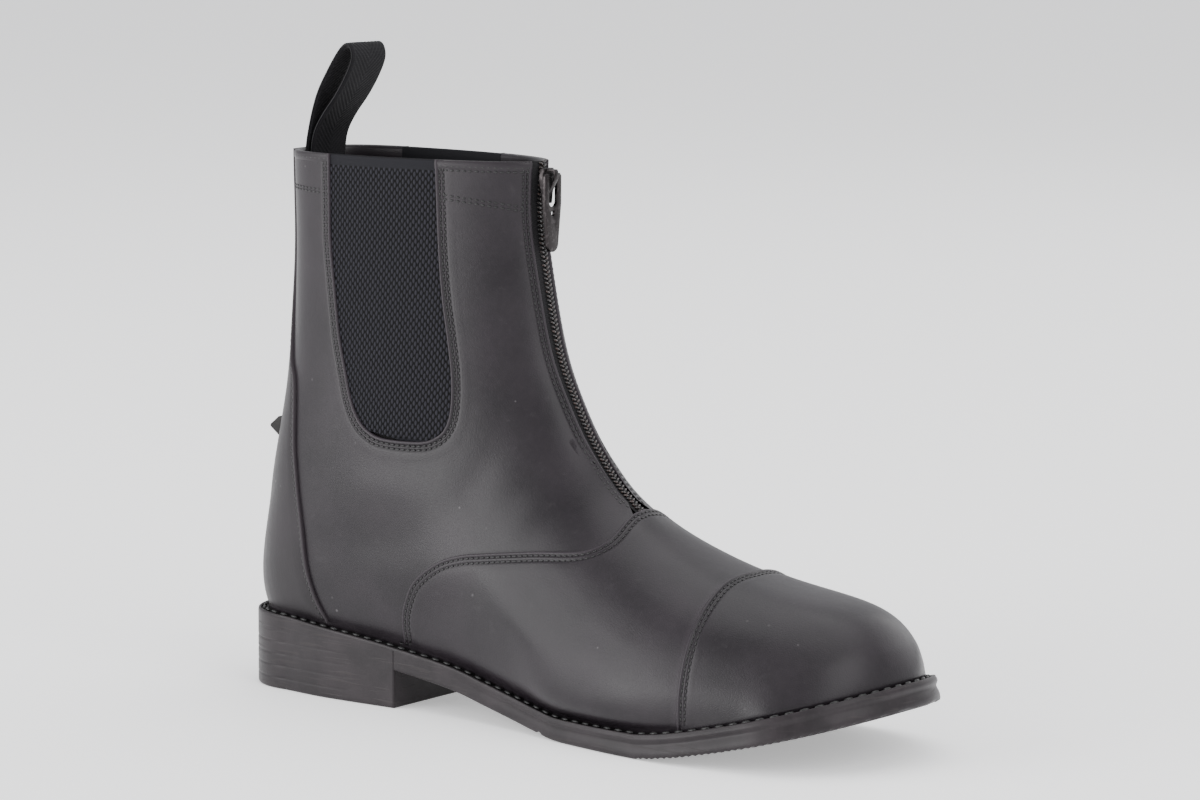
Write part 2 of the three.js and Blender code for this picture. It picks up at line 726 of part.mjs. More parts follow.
function buildUpper() {
  const wall = shell(-WALL, 0);
  const vamp = sidePrism(vampRegion(), -HALF_SPACE, HALF_SPACE);
  const step = shell(-WALL / 4, VAMP_STEP).intersect(vamp);
  const high = 1.2 * COLLAR_HEIGHT;
  const windows = sidePrism(windowOutline(0, high), -HALF_SPACE, HALF_SPACE);
  const slot = zipPrism(zipWidthAt(high, 0), zipWidthAt(ZIP_FOOT_HEIGHT, 0), ZIP_FOOT_HEIGHT, high);
  return wall.add(step).subtract(windows).subtract(slot);
}

// Width of the zip's slot at a height, less a clearance on each side
function zipWidthAt(z, clearance) {
  const share = (z - ZIP_FOOT_HEIGHT) / (COLLAR_HEIGHT - ZIP_FOOT_HEIGHT);
  return ZIP_FOOT_WIDTH + (ZIP_WIDTH - ZIP_FOOT_WIDTH) * share - 2 * clearance;
}

function buildGore(lateral) {
  const outline = windowOutline(GAP, COLLAR_HEIGHT - GORE_DROP);
  const [from, to] = lateral ? [-HALF_SPACE, 0] : [0, HALF_SPACE];
  const panel = shell(-GORE_RECESS - GORE_THICKNESS, -GORE_RECESS);
  return panel.intersect(sidePrism(outline, from, to));
}

function buildToeCap() {
  const cap = shell(VAMP_STEP + GAP, VAMP_STEP + GAP + CAP_THICKNESS);
  const reach = BALL_WIDTH / 2 + CAP_THICKNESS;
  const shape = new THREE.Shape();
  shape.moveTo(CAP_PLACE + CAP_SWEEP, -reach);
  shape.quadraticCurveTo(CAP_PLACE - CAP_SWEEP, 0, CAP_PLACE + CAP_SWEEP, reach);
  shape.lineTo(SOLE_LENGTH, reach);
  shape.lineTo(SOLE_LENGTH, -reach);
  const geometry = new THREE.ExtrudeGeometry(shape, {
    depth: COLLAR_HEIGHT, bevelEnabled: false, curveSegments: 12,
  });
  return cap.intersect(toSolid(geometry));
}

// Back line of the upper at a height
const backLine = (z) => sectionAt(rowAtHeight('foot', z, 9, LAST.length - 1)).foot.x;

function buildBackStay() {
  const edge = STAY_EDGE.map((row) => {
    const z = row.z * COLLAR_HEIGHT;
    const back = backLine(Math.max(z, featherHeight(HEEL_END * SOLE_LENGTH)));
    return { x: back + row.ahead * SOLE_LENGTH, z };
  });
  edge[0].z -= GORE_DROP;
  const behind = HEEL_END * SOLE_LENGTH - 2 * REST_DEPTH;
  const region = [{ x: behind, z: edge[0].z }, ...edge, { x: behind, z: edge[edge.length - 1].z }];
  return shell(GAP, GAP + STAY_THICKNESS).intersect(sidePrism(region, -HALF_SPACE, HALF_SPACE));
}

// Small ledge across the back stay, with a sloped top and an undercut
function buildSpurRest() {
  const seat = 2 * GAP + STAY_THICKNESS;
  const z = REST_PLACE;
  const back = backLine(z) - seat;
  const region = [
    { x: back + REST_DEPTH, z: z + REST_HEIGHT / 2 },
    { x: back, z: z + REST_HEIGHT / 2 - 0.6 },
    { x: back - REST_DEPTH, z },
    { x: back - REST_DEPTH, z: z - 0.8 },
    { x: back, z: z - REST_HEIGHT / 2 },
    { x: back + REST_DEPTH, z: z - REST_HEIGHT / 2 },
  ];
  const block = sidePrism(region, -REST_WIDTH / 2, REST_WIDTH / 2);
  return shell(seat, seat + 2 * REST_DEPTH).intersect(block);
}

function buildZipTape() {
  const strip = zipPrism(
    zipWidthAt(COLLAR_HEIGHT - GORE_DROP, GAP),
    zipWidthAt(ZIP_FOOT_HEIGHT + GAP, GAP),
    ZIP_FOOT_HEIGHT + GAP,
    COLLAR_HEIGHT - GORE_DROP,
  );
  return shell(-TAPE_RECESS - TAPE_THICKNESS, -TAPE_RECESS).intersect(strip);
}

function buildZipCoil() {
  const narrow = COIL_WIDTH * 0.9;
  const strip = zipPrism(COIL_WIDTH, narrow, ZIP_FOOT_HEIGHT + 2 * GAP, COLLAR_HEIGHT - GORE_DROP);
  const low = GAP - TAPE_RECESS;
  return shell(low, low + COIL_THICKNESS).intersect(strip);
}

// Front of the coil at the slider, where the slider's back face starts
const SLIDER_TOP = COLLAR_HEIGHT - SLIDER_DROP;
const SLIDER_FOOT = SLIDER_TOP - SLIDER_LENGTH;
const ridgeLine = (z) => sectionAt(rowAtHeight('ridge', z, 6, LAST.length - 1)).ridge.x;
const COIL_FRONT = Math.max(ridgeLine(SLIDER_TOP), ridgeLine(SLIDER_FOOT))
  + GAP - TAPE_RECESS + COIL_THICKNESS;
const SLIDER_BACK = COIL_FRONT + GAP;
const SLIDER_FRONT = SLIDER_BACK + SLIDER_THICKNESS;
const BAR_SWEEP = Math.hypot(PULL_BAR, PULL_THICKNESS) / 2;
const HINGE_X = SLIDER_FRONT + GAP + BAR_SWEEP;
const HINGE_Z = SLIDER_TOP - GAP - BAIL_THICKNESS - GAP - BAR_SWEEP;

// Plate drawn in the front view, y across and z up, with its back face at x
function frontPlate(shape, x, thickness) {
  const geometry = new THREE.ExtrudeGeometry(shape, {
    depth: thickness, bevelEnabled: false, curveSegments: 8,
  });
  geometry.rotateX(Math.PI / 2);
  geometry.rotateZ(Math.PI / 2);
  geometry.translate(x, 0, 0);
  return toSolid(geometry);
}

function buildZipSlider() {
  const shoulder = SLIDER_LENGTH * 0.3;
  const half = SLIDER_WIDTH / 2;
  const body = new THREE.Shape([
    new THREE.Vector2(-half * 0.55, SLIDER_FOOT),
    new THREE.Vector2(half * 0.55, SLIDER_FOOT),
    new THREE.Vector2(half * 0.7, SLIDER_FOOT + shoulder),
    new THREE.Vector2(half, SLIDER_TOP - shoulder),
    new THREE.Vector2(half * 0.8, SLIDER_TOP),
    new THREE.Vector2(-half * 0.8, SLIDER_TOP),
    new THREE.Vector2(-half, SLIDER_TOP - shoulder),
    new THREE.Vector2(-half * 0.7, SLIDER_FOOT + shoulder),
  ]);
  const room = BAR_SWEEP + GAP;
  const top = HINGE_Z + room;
  const foot = SLIDER_FOOT + BAIL_THICKNESS;
  const root = SLIDER_FRONT - SLIDER_THICKNESS / 2;
  const out = HINGE_X + room;
  const bail = [
    { x: root, z: top + BAIL_THICKNESS },
    { x: out + BAIL_THICKNESS * 0.6, z: top + BAIL_THICKNESS },
    { x: out + BAIL_THICKNESS, z: top },
    { x: out + BAIL_THICKNESS, z: HINGE_Z - room },
    { x: root, z: foot },
    { x: root, z: foot + BAIL_THICKNESS * 1.6 },
    { x: out, z: HINGE_Z - room },
    { x: out, z: top },
    { x: root, z: top },
  ];
  const strap = sidePrism(bail, -BAIL_WIDTH / 2, BAIL_WIDTH / 2);
  return frontPlate(body, SLIDER_BACK, SLIDER_THICKNESS).add(strap);
}

function buildZipPull() {
  const top = HINGE_Z + PULL_BAR / 2;
  const foot = top - PULL_LENGTH;
  const half = PULL_WIDTH / 2;
  const tip = PULL_TIP_WIDTH / 2;
  const shape = new THREE.Shape();
  shape.moveTo(-tip, foot + tip);
  shape.absarc(0, foot + tip, tip, Math.PI, 2 * Math.PI, false);
  shape.lineTo(half, top - PULL_SLOT_LENGTH);
  shape.lineTo(half, top - 1);
  shape.lineTo(half - 1, top);
  shape.lineTo(1 - half, top);
  shape.lineTo(-half, top - 1);
  shape.lineTo(-half, top - PULL_SLOT_LENGTH);
  shape.closePath();
  const slot = new THREE.Path();
  const w = PULL_SLOT_WIDTH / 2;
  const slotTop = top - PULL_BAR;
  const slotFoot = slotTop - PULL_SLOT_LENGTH;
  slot.moveTo(-w, slotTop);
  slot.lineTo(-w, slotFoot + w);
  slot.absarc(0, slotFoot + w, w, Math.PI, 2 * Math.PI, false);
  slot.lineTo(w, slotTop);
  slot.closePath();
  const hole = new THREE.Path();
  hole.absarc(0, slotFoot - PULL_HOLE, PULL_HOLE / 2, 0, 2 * Math.PI, true);
  shape.holes.push(slot, hole);
  return frontPlate(shape, HINGE_X - PULL_THICKNESS / 2, PULL_THICKNESS);
}

// Place behind which the upper is narrower than a given half width, at a height
function backPlace(half, z) {
  let low = HEEL_END * SOLE_LENGTH;
  let high = 0;
  for (let step = 0; step < 30; step++) {
    const middle = (low + high) / 2;
    if (widthAt(middle, z).outer < half) low = middle;
    else high = middle;
  }
  return high;
}

// Webbing strip folded into a loop: both ends go down inside the collar's back wall
function buildPullLoop() {
  const half = LOOP_WIDTH / 2 + WALL / 2;
  const seats = [0, 0.5, 1].map((share) => backPlace(half, COLLAR_HEIGHT - share * LOOP_TAIL));
  const first = Math.max(...seats) + WALL + GAP + LOOP_THICKNESS / 2;
  const second = first + LOOP_THICKNESS + GAP;
  const bottom = COLLAR_HEIGHT - LOOP_TAIL;
  const bend = LOOP_PATH.map((row) => new THREE.Vector2(
    first + (row.x - LOOP_PATH[0].x) * LOOP_HEIGHT,
    COLLAR_HEIGHT + row.z * LOOP_HEIGHT,
  ));
  const curve = new THREE.SplineCurve([
    new THREE.Vector2(first, bottom),
    new THREE.Vector2(first, bottom + LOOP_TAIL / 2),
    ...bend,
    new THREE.Vector2(second, bottom + LOOP_TAIL / 2),
    new THREE.Vector2(second, bottom),
  ]);
  const steps = 44;
  const outside = [];
  const inside = [];
  for (let k = 0; k <= steps; k++) {
    const point = curve.getPointAt(k / steps);
    const tangent = curve.getTangentAt(k / steps);
    const normal = new THREE.Vector2(-tangent.y, tangent.x).multiplyScalar(LOOP_THICKNESS / 2);
    outside.push(point.clone().add(normal));
    inside.push(point.clone().sub(normal));
  }
  const outline = [...outside, ...inside.reverse()].map((p) => ({ x: p.x, z: p.y }));
  return sidePrism(outline, -LOOP_WIDTH / 2, LOOP_WIDTH / 2);
}

const group = new THREE.Group();

function addPart(name, solid, material) {
  const mesh = new THREE.Mesh(toGeometry(solid), material);
  mesh.name = name;
  group.add(mesh);
}

const sole = buildSole();
addPart('outsole', sole.outsole, rubber);
addPart('heel', sole.heel, rubber);
addPart('welt', buildWelt(), thread);
addPart('insole', buildInsole(), lining);
addPart('upper', buildUpper(), leather);
addPart('toe_cap', buildToeCap(), leather);
addPart('back_stay', buildBackStay(), leather);
addPart('spur_rest', buildSpurRest(), leather);
addPart('gore_lateral', buildGore(true), elastic);
addPart('gore_medial', buildGore(false), elastic);
addPart('zip_tape', buildZipTape(), webbing);
addPart('zip_coil', buildZipCoil(), webbing);
addPart('zip_slider', buildZipSlider(), gunmetal);
addPart('zip_pull', buildZipPull(), gunmetal);
addPart('pull_loop', buildPullLoop(), webbing);

export default group;
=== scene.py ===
# %% [markdown]
# # A zip jodhpur boot, dressed round its CAD frame
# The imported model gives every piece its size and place. This notebook adds what a shoemaker
# would see: leather panels with turned edges, rows of stitches, woven elastic, a coil zip,
# webbing and a moulded sole. Each piece takes its size from the frame's own boxes.

# %% Load the frame
import math

import bmesh
import bpy
import numpy as np
from mathutils import Matrix, Vector


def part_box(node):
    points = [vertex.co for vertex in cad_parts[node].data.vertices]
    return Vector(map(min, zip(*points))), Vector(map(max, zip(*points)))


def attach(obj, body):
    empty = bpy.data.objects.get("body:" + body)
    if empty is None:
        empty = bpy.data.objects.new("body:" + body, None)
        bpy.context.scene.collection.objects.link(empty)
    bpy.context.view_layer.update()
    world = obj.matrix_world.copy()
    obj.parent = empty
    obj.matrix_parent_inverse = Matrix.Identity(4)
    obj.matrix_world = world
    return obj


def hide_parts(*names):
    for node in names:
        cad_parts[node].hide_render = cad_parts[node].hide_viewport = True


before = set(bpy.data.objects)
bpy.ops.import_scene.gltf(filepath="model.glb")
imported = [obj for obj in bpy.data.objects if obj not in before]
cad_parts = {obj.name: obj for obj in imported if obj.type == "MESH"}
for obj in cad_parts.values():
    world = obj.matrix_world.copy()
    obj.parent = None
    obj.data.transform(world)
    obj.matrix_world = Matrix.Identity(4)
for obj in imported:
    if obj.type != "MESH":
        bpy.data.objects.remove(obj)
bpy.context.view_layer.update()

# %% [markdown]
# ## Driving sizes
# A boot is sized by its sole length, its width at the ball and the height of its collar.
# The frame has all three, so a change in the CAD model carries through to every panel here.

# %% Driving sizes
MM = 0.001
SOLE_LOW, SOLE_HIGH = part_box("outsole")
HEEL_BLOCK_LOW, HEEL_BLOCK_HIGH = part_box("heel")
HEEL_TIP = HEEL_BLOCK_LOW.x
TOE_TIP = SOLE_HIGH.x
SOLE_LENGTH = TOE_TIP - HEEL_TIP
BALL_WIDTH = SOLE_HIGH.y - SOLE_LOW.y
COLLAR_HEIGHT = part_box("upper")[1].z
BREAST = HEEL_BLOCK_HIGH.x
HEEL_LIFT = 20.5 * MM
TOE_SPRING = 21 * MM
SOLE_THICKNESS = 8.6 * MM
TREAD_START = 154 * MM
LIP_HEIGHT = 1.2 * MM
LIP_WIDTH = 1.7 * MM
TOE_FLARE = 2 * MM
WELT_SHOW = 3 * MM
WELT_THICKNESS = 1.8 * MM
GAP = 0.3 * MM
print("sole", round(SOLE_LENGTH, 4), "ball", round(BALL_WIDTH, 4), "collar", round(COLLAR_HEIGHT, 4))

# %% [markdown]
# ## The last
# A shoe is built round a last, the solid foot shape. Here it is a fan of sections that turns
# from the toe, flat under the foot, up to the level ring of the collar. Each row gives where a
# section starts and ends in the side view and how wide and how full it is, in shares of the
# driving sizes. A spline through the rows gives the smooth form between them. A sculpted mesh
# would do as well, but rows keep every panel tied to the same sizes.

# %% Sections of the last and outline of the sole
LAST = np.array([
    # foot x, foot z, ridge x, ridge z, widest, outer, inner, low, high, shift
    [0.700, 0.024, 0.802, 0.024, 0.00, 0.433, 0.370, 2.2, 2.2, 0.050],
    [0.700, 0.024, 0.808, 0.098, 0.00, 0.440, 0.375, 2.2, 2.2, 0.050],
    [0.697, 0.024, 0.806, 0.182, 0.02, 0.440, 0.385, 2.4, 2.2, 0.050],
    [0.690, 0.024, 0.772, 0.246, 0.06, 0.435, 0.400, 2.6, 2.2, 0.045],
    [0.676, 0.024, 0.700, 0.264, 0.14, 0.440, 0.420, 3.0, 2.2, 0.040],
    [0.607, 0.024, 0.625, 0.276, 0.22, 0.465, 0.440, 3.2, 2.15, 0.025],
    [0.510, 0.024, 0.547, 0.302, 0.25, 0.470, 0.430, 3.0, 2.1, 0.015],
    [0.386, 0.024, 0.472, 0.341, 0.30, 0.425, 0.390, 2.8, 2.1, 0.015],
    [0.180, 0.024, 0.400, 0.403, 0.40, 0.370, 0.345, 2.6, 2.0, 0.015],
    [-0.052, 0.024, 0.353, 0.483, 0.44, 0.350, 0.340, 2.6, 2.0, 0.010],
    [-0.156, 0.146, 0.322, 0.563, 0.42, 0.330, 0.330, 2.6, 2.0, 0],
    [-0.148, 0.351, 0.293, 0.656, 0.40, 0.315, 0.315, 2.6, 2.0, 0],
    [-0.120, 0.576, 0.274, 0.776, 0.38, 0.280, 0.280, 2.7, 2.0, 0],
    [-0.110, 0.790, 0.262, 0.893, 0.36, 0.252, 0.252, 2.9, 2.0, 0],
    [-0.114, 1.000, 0.264, 1.000, 0.36, 0.240, 0.240, 3.0, 2.0, 0],
])
OUTLINE = np.array([
    # x, lateral half width, medial half width
    [-0.076, 0.310, 0.310], [0.000, 0.335, 0.330], [0.110, 0.333, 0.307],
    [0.207, 0.334, 0.288], [0.310, 0.378, 0.315], [0.414, 0.450, 0.400],
    [0.510, 0.498, 0.465], [0.590, 0.510, 0.490], [0.672, 0.480, 0.482],
])
ARCH = np.array([
    # x, height of the waist above the floor
    [-0.169, 1.000], [-0.100, 0.995], [-0.024, 0.920], [0.065, 0.795], [0.114, 0.707],
    [0.207, 0.507], [0.262, 0.340], [0.317, 0.185], [0.359, 0.078], [0.407, 0.000], [0.530, 0.000],
])
TOE_SHIFT = 0.06
HEEL_ROUND = 2.3
TOE_ROUND = 1.95
FEATHER_LEAN = 1.4
SPRING_POWER = 1.32
BACK_SPREAD = 1.25


def smooth_row(rows, t):
    """Smooth curve through the rows of a table, at row numbers t."""
    final = len(rows) - 1
    padded = np.vstack([2 * rows[0] - rows[1], rows, 2 * rows[-1] - rows[-2]])
    i = np.clip(np.floor(t).astype(int), 0, final - 1)
    f = (np.asarray(t) - i)[..., None]
    a, b, c, d = (padded[i + k] for k in range(4))
    bend = (2 * a - 5 * b + 4 * c - d) * f**2 + (3 * b - a - 3 * c + d) * f**3
    return 0.5 * (2 * b + (c - a) * f + bend)


def bisect(passed, low, high, steps=30):
    """Value between low and high at which a test stops being true."""
    for _ in range(steps):
        middle = (low + high) / 2
        ahead = passed(middle)
        low, high = np.where(ahead, middle, low), np.where(ahead, high, middle)
    return (low + high) / 2


def look_up(rows, value):
    """Row of a table where its first column has a value."""
    value = np.asarray(value, float)
    start, end = np.zeros(value.shape), np.full(value.shape, len(rows) - 1.0)
    return smooth_row(rows, bisect(lambda t: smooth_row(rows, t)[..., 0] < value, start, end))


def outline_at(x, inset):
    """Half widths of the sole outline at x, moved in by an inset."""
    x, inset = np.broadcast_arrays(np.asarray(x, float), np.asarray(inset, float))
    first, final = OUTLINE[0] * BALL_WIDTH, OUTLINE[-1] * BALL_WIDTH
    heel_x, toe_x = OUTLINE[0, 0] * SOLE_LENGTH, OUTLINE[-1, 0] * SOLE_LENGTH
    middle = look_up(OUTLINE, np.clip(x, heel_x, toe_x) / SOLE_LENGTH) * BALL_WIDTH
    outer, inner = middle[..., 1] - inset, middle[..., 2] - inset
    behind = np.clip((heel_x - x) / (heel_x - HEEL_TIP - inset), 0, 1)
    w = (1 - behind**HEEL_ROUND) ** (1 / HEEL_ROUND)
    outer = np.where(x < heel_x, w * (first[1] - inset), outer)
    inner = np.where(x < heel_x, w * (first[2] - inset), inner)
    ahead = np.clip((x - toe_x) / (TOE_TIP - inset - toe_x), 0, 1)
    w = (1 - ahead**TOE_ROUND) ** (1 / TOE_ROUND)
    shift = TOE_SHIFT * BALL_WIDTH
    outer = np.where(x > toe_x, w * (final[1] + shift - inset) - shift, outer)
    inner = np.where(x > toe_x, w * (final[2] - shift - inset) + shift, inner)
    return outer, inner


def plate_bottom(x):
    """Height of the sole plate's underside."""
    x = np.asarray(x, float)
    waist = np.maximum(look_up(ARCH, np.clip(x / SOLE_LENGTH, ARCH[0, 0], ARCH[-1, 0]))[..., 1], 0)
    share = np.clip((x - TREAD_START) / (TOE_TIP - TREAD_START), 0, 1)
    return np.where(x <= TREAD_START, waist * HEEL_LIFT, TOE_SPRING * share**SPRING_POWER)


def flare_at(x):
    """How far the sole's side leans in from its bottom edge to its lip."""
    share = np.clip((np.asarray(x) / SOLE_LENGTH - 0.31) / (0.76 - 0.31), 0, 1)
    return TOE_FLARE * share**2 * (3 - 2 * share)


def thickness_at(x):
    """Thickness of the plate, a little more at the toe."""
    share = np.clip((np.asarray(x) / SOLE_LENGTH - 0.45) / 0.35, 0, 1)
    return SOLE_THICKNESS + 1.2 * MM * share


def lip_top(x):
    return plate_bottom(x) + thickness_at(x)


def feather_height(x):
    return lip_top(x) - LIP_HEIGHT + 2 * GAP + WELT_THICKNESS


def feather_inset(x):
    return flare_at(x) * FEATHER_LEAN + LIP_WIDTH + WELT_SHOW + GAP


print("sole height at the ball", round(float(lip_top(0.12)) / MM, 2), "mm")

# %% [markdown]
# ## The upper's surface as a map
# Panels, seams and stitches all lie on one surface, so it pays to have that surface as a map
# from two numbers to a point. Here u runs once round the boot, from the back over the lateral
# side to the front ridge and home over the medial side, and v climbs from the feather line, where
# the upper meets the sole, to the collar. It is worked out once on a fine table and read with
# a cubic filter, which is fast and leaves no facets.

# %% Table of the upper's surface
FEATHER_FADE = 0.55
WIDTH_FADE = 0.4
TABLE_U, TABLE_V = 48, 200


def sections(t):
    row = smooth_row(LAST, t)
    scale = np.array([SOLE_LENGTH, COLLAR_HEIGHT] * 2 + [1] + [BALL_WIDTH] * 2 + [1, 1, BALL_WIDTH])
    return row * scale


def width_at(x, z):
    """Half widths and shift of the last at points of the side plane."""
    def below(t):
        s = sections(t)
        turn = (s[..., 2] - s[..., 0]) * (z - s[..., 1]) - (s[..., 3] - s[..., 1]) * (x - s[..., 0])
        return turn > 0
    s = sections(bisect(below, np.zeros(x.shape), np.full(x.shape, len(LAST) - 1.0), 26))
    line = s[..., 2:4] - s[..., 0:2]
    place = ((x - s[..., 0]) * line[..., 0] + (z - s[..., 1]) * line[..., 1]) / (line**2).sum(-1)
    share, widest = np.clip(place, 0, 1), np.maximum(s[..., 4], 1e-6)
    above = share >= widest
    away = np.where(above, (share - widest) / (1 - widest), (widest - share) / widest)
    power = np.where(above, s[..., 8], s[..., 7])
    fullness = (1 - np.clip(away, 0, 1) ** power) ** (1 / power)
    return fullness * s[..., 5], fullness * s[..., 6], s[..., 9]


def row_at_height(column, height, low, high):
    return float(bisect(lambda t: sections(t)[..., column] < height, np.array(low), np.array(high), 40))


def upper_side(a, v, lateral):
    """Points of the upper: a runs from the back line to the ridge, v from feather line to collar."""
    top = len(LAST) - 1.0
    back_start = row_at_height(1, float(feather_height(HEEL_TIP)), 9.0, 12.0)
    front_start = row_at_height(3, float(feather_height(TOE_TIP)), 0.0, 3.0)
    share = (1 - np.cos(np.pi * a)) / 2
    back = sections(back_start + (top - back_start) * v**BACK_SPREAD)[..., 0:2]
    front = sections(front_start + (top - front_start) * v)[..., 2:4]
    back0 = sections(np.array(back_start))[0:2]
    front0 = sections(np.array(front_start))[2:4]
    x = back[..., 0] + (front[..., 0] - back[..., 0]) * share
    line_z = back[..., 1] + (front[..., 1] - back[..., 1]) * share
    bottom_x = back0[0] + (front0[0] - back0[0]) * share
    bottom_z = back0[1] + (front0[1] - back0[1]) * share
    heel_x, toe_x = HEEL_TIP + feather_inset(HEEL_TIP), TOE_TIP - feather_inset(TOE_TIP)
    base_x = heel_x + (toe_x - heel_x) * share
    base_z = feather_height(base_x)
    z = line_z + (base_z - bottom_z) * np.maximum(1 - v / FEATHER_FADE, 0) ** 1.5
    closed = np.where((a > 0) & (a < 1), 1.0, 0.0)
    base = outline_at(base_x, feather_inset(base_x))
    half = width_at(x, z)
    half0 = width_at(bottom_x, base_z)
    fade = np.maximum(1 - v / WIDTH_FADE, 0) ** 2
    if lateral:
        y, y0, base_y = half[2] - half[0] * closed, half0[2] - half0[0] * closed, -base[0]
    else:
        y, y0, base_y = half[2] + half[1] * closed, half0[2] + half0[1] * closed, base[1]
    return np.stack([x + (base_x - bottom_x) * fade, y + (base_y - y0) * fade, z], -1)


A, V = np.meshgrid(np.linspace(0, 1, TABLE_U // 2 + 1), np.linspace(0, 1, TABLE_V + 1))
LATERAL, MEDIAL = upper_side(A, V, True), upper_side(A, V, False)
SURFACE = np.concatenate([LATERAL, MEDIAL[:, -2:0:-1]], axis=1)


TOE_ROUNDS, SIDEWAYS_EVERY = 120, 60
TOE_FILL = 0.9 * MM


def eased_toe(table):
    """The table with its toe rounded, as damp leather settles over a last.

    Averaging neighbours shrinks the form a little, so the fill moves it out again.
    """
    u = np.arange(TABLE_U) / TABLE_U
    v = np.linspace(0, 1, TABLE_V + 1)
    near_toe = np.clip(1.5 - np.abs(u - 0.5) / 0.14, 0, 1)
    low = np.clip(v / 0.05, 0, 1) * np.clip((0.62 - v) / 0.25, 0, 1)
    weight = (low[:, None] * near_toe[None, :])[..., None]
    for k in range(TOE_ROUNDS):
        padded = np.concatenate([table[:1], table, table[-1:]])
        table = table + weight * (padded[:-2] + padded[2:] - 2 * table) / 4
        if k % SIDEWAYS_EVERY == 0:
            table = table + weight * (np.roll(table, 1, 1) + np.roll(table, -1, 1) - 2 * table) / 4
    around = np.roll(table, -1, 1) - np.roll(table, 1, 1)
    normal = np.cross(around, np.gradient(table, axis=0))
    normal /= np.maximum(np.linalg.norm(normal, axis=-1, keepdims=True), 1e-12)
    return table + normal * weight * TOE_FILL


SURFACE = eased_toe(SURFACE)
print("upper table", SURFACE.shape, "low", SURFACE.min((0, 1)), "high", SURFACE.max((0, 1)))


def cubic(f):
    """Weights of four neighbours for a smooth read between the middle two."""
    return np.stack([-f + 2 * f**2 - f**3, 2 - 5 * f**2 + 3 * f**3,
                     f + 4 * f**2 - 3 * f**3, f**3 - f**2], -1) / 2


EDGED = np.concatenate([2 * SURFACE[:1] - SURFACE[1:2], SURFACE, 2 * SURFACE[-1:] - SURFACE[-2:-1]])


def skin(u, v):
    """Points of the upper's outer surface."""
    u, v = np.broadcast_arrays(np.asarray(u, float) * TABLE_U, np.clip(v, 0, 1) * TABLE_V)
    i, j = np.floor(u).astype(int), np.clip(np.floor(v).astype(int), 0, TABLE_V - 1)
    wu, wv = cubic(u - i), cubic(v - j)
    total = np.zeros(u.shape + (3,))
    for p in range(4):
        for q in range(4):
            weight = (wv[..., p] * wu[..., q])[..., None]
            total += weight * EDGED[j + p, (i + q - 1) % TABLE_U]
    return total


def skin_normal(u, v):
    """Outward directions of the upper's surface."""
    du, dv = 0.002, 1 / TABLE_V
    along = skin(u + du, v) - skin(u - du, v)
    up = skin(u, np.minimum(v + dv, 1)) - skin(u, np.maximum(v - dv, 0))
    normal = np.cross(along, up)
    return normal / np.maximum(np.linalg.norm(normal, axis=-1, keepdims=True), 1e-12)


def lifted(u, v, height):
    """Points a height above the upper's surface."""
    return skin(u, v) + skin_normal(u, v) * np.asarray(height)[..., None]


side = skin_normal(np.array([0.25, 0.75]), np.array([0.6, 0.6]))
print("outward on the lateral and medial side", side[:, 1])

# %% [markdown]
# ## Grids laid on the surface
# A leather panel is a flat sheet pulled over the last. In Blender that is a plain grid whose
# points are moved to their places on the surface. One helper makes every panel: it starts from
# `create_grid`, sets the points and turns the faces outward.

# %% Helper for a grid with given points
def finish_mesh(mesh, name, body="boot"):
    """Turn a bmesh into an object that rides on a body."""
    data = bpy.data.meshes.new(name)
    mesh.to_mesh(data)
    mesh.free()
    data.polygons.foreach_set("use_smooth", [True] * len(data.polygons))
    piece = bpy.data.objects.new(name, data)
    bpy.context.scene.collection.objects.link(piece)
    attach(piece, body)
    return piece


def lay_grid(mesh, points, outward=None, edge=None):
    """Add a grid whose rows and columns lie at the given points."""
    rows, columns = points.shape[:2]
    layer = mesh.verts.layers.float.get("edge") or mesh.verts.layers.float.new("edge")
    made = bmesh.ops.create_grid(mesh, x_segments=columns - 1, y_segments=rows - 1, size=0.5)["verts"]
    for vert in made:
        column = round((vert.co.x + 0.5) * (columns - 1))
        row = round((vert.co.y + 0.5) * (rows - 1))
        vert.co = points[row, column]
        vert[layer] = 0 if edge is None else edge[row, column]
    if outward is not None:
        across = np.gradient(points, axis=1)
        along = np.gradient(points, axis=0)
        if np.sum(np.cross(across, along) * outward) < 0:
            faces = list({face for vert in made for face in vert.link_faces})
            bmesh.ops.reverse_faces(mesh, faces=faces)
    return made


def sheet_piece(name, grids, node, body="boot"):
    """One piece from several grids, given as points, outward directions and edge marks."""
    mesh = bmesh.new()
    for grid in grids:
        lay_grid(mesh, *grid)
    bmesh.ops.remove_doubles(mesh, verts=mesh.verts, dist=0.002 * MM)
    piece = finish_mesh(mesh, name, body)
    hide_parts(*node.split())
    print(name, len(piece.data.polygons), "faces")
    return piece


# %% [markdown]
# ## Seams
# Every seam is drawn in the side view, in shares of the sole length and the collar height, as
# a pattern cutter draws on a taped last. A few steps of Newton's method carry each point onto
# the surface, and the same steps move a seam sideways by a few millimetres for turned edges
# and stitch rows.

# %% Helpers for seams
def settle(uv, target, steps=5):
    """Map numbers whose surface point is nearest to each target."""
    uv = np.array(uv, float)
    e = 2e-4
    for _ in range(steps):
        u, v = uv[..., 0], np.clip(uv[..., 1], e, 1 - e)
        pu = (skin(u + e, v) - skin(u - e, v)) / (2 * e)
        pv = (skin(u, v + e) - skin(u, v - e)) / (2 * e)
        rest = target - skin(u, uv[..., 1])
        a, b, c = (pu * pu).sum(-1), (pu * pv).sum(-1), (pv * pv).sum(-1)
        f, g = (pu * rest).sum(-1), (pv * rest).sum(-1)
        det = np.maximum(a * c - b * b, 1e-14)
        uv[..., 0] += np.clip((c * f - b * g) / det, -0.02, 0.02)
        uv[..., 1] = np.clip(uv[..., 1] + np.clip((a * g - b * f) / det, -0.02, 0.02), 0, 1)
    return uv


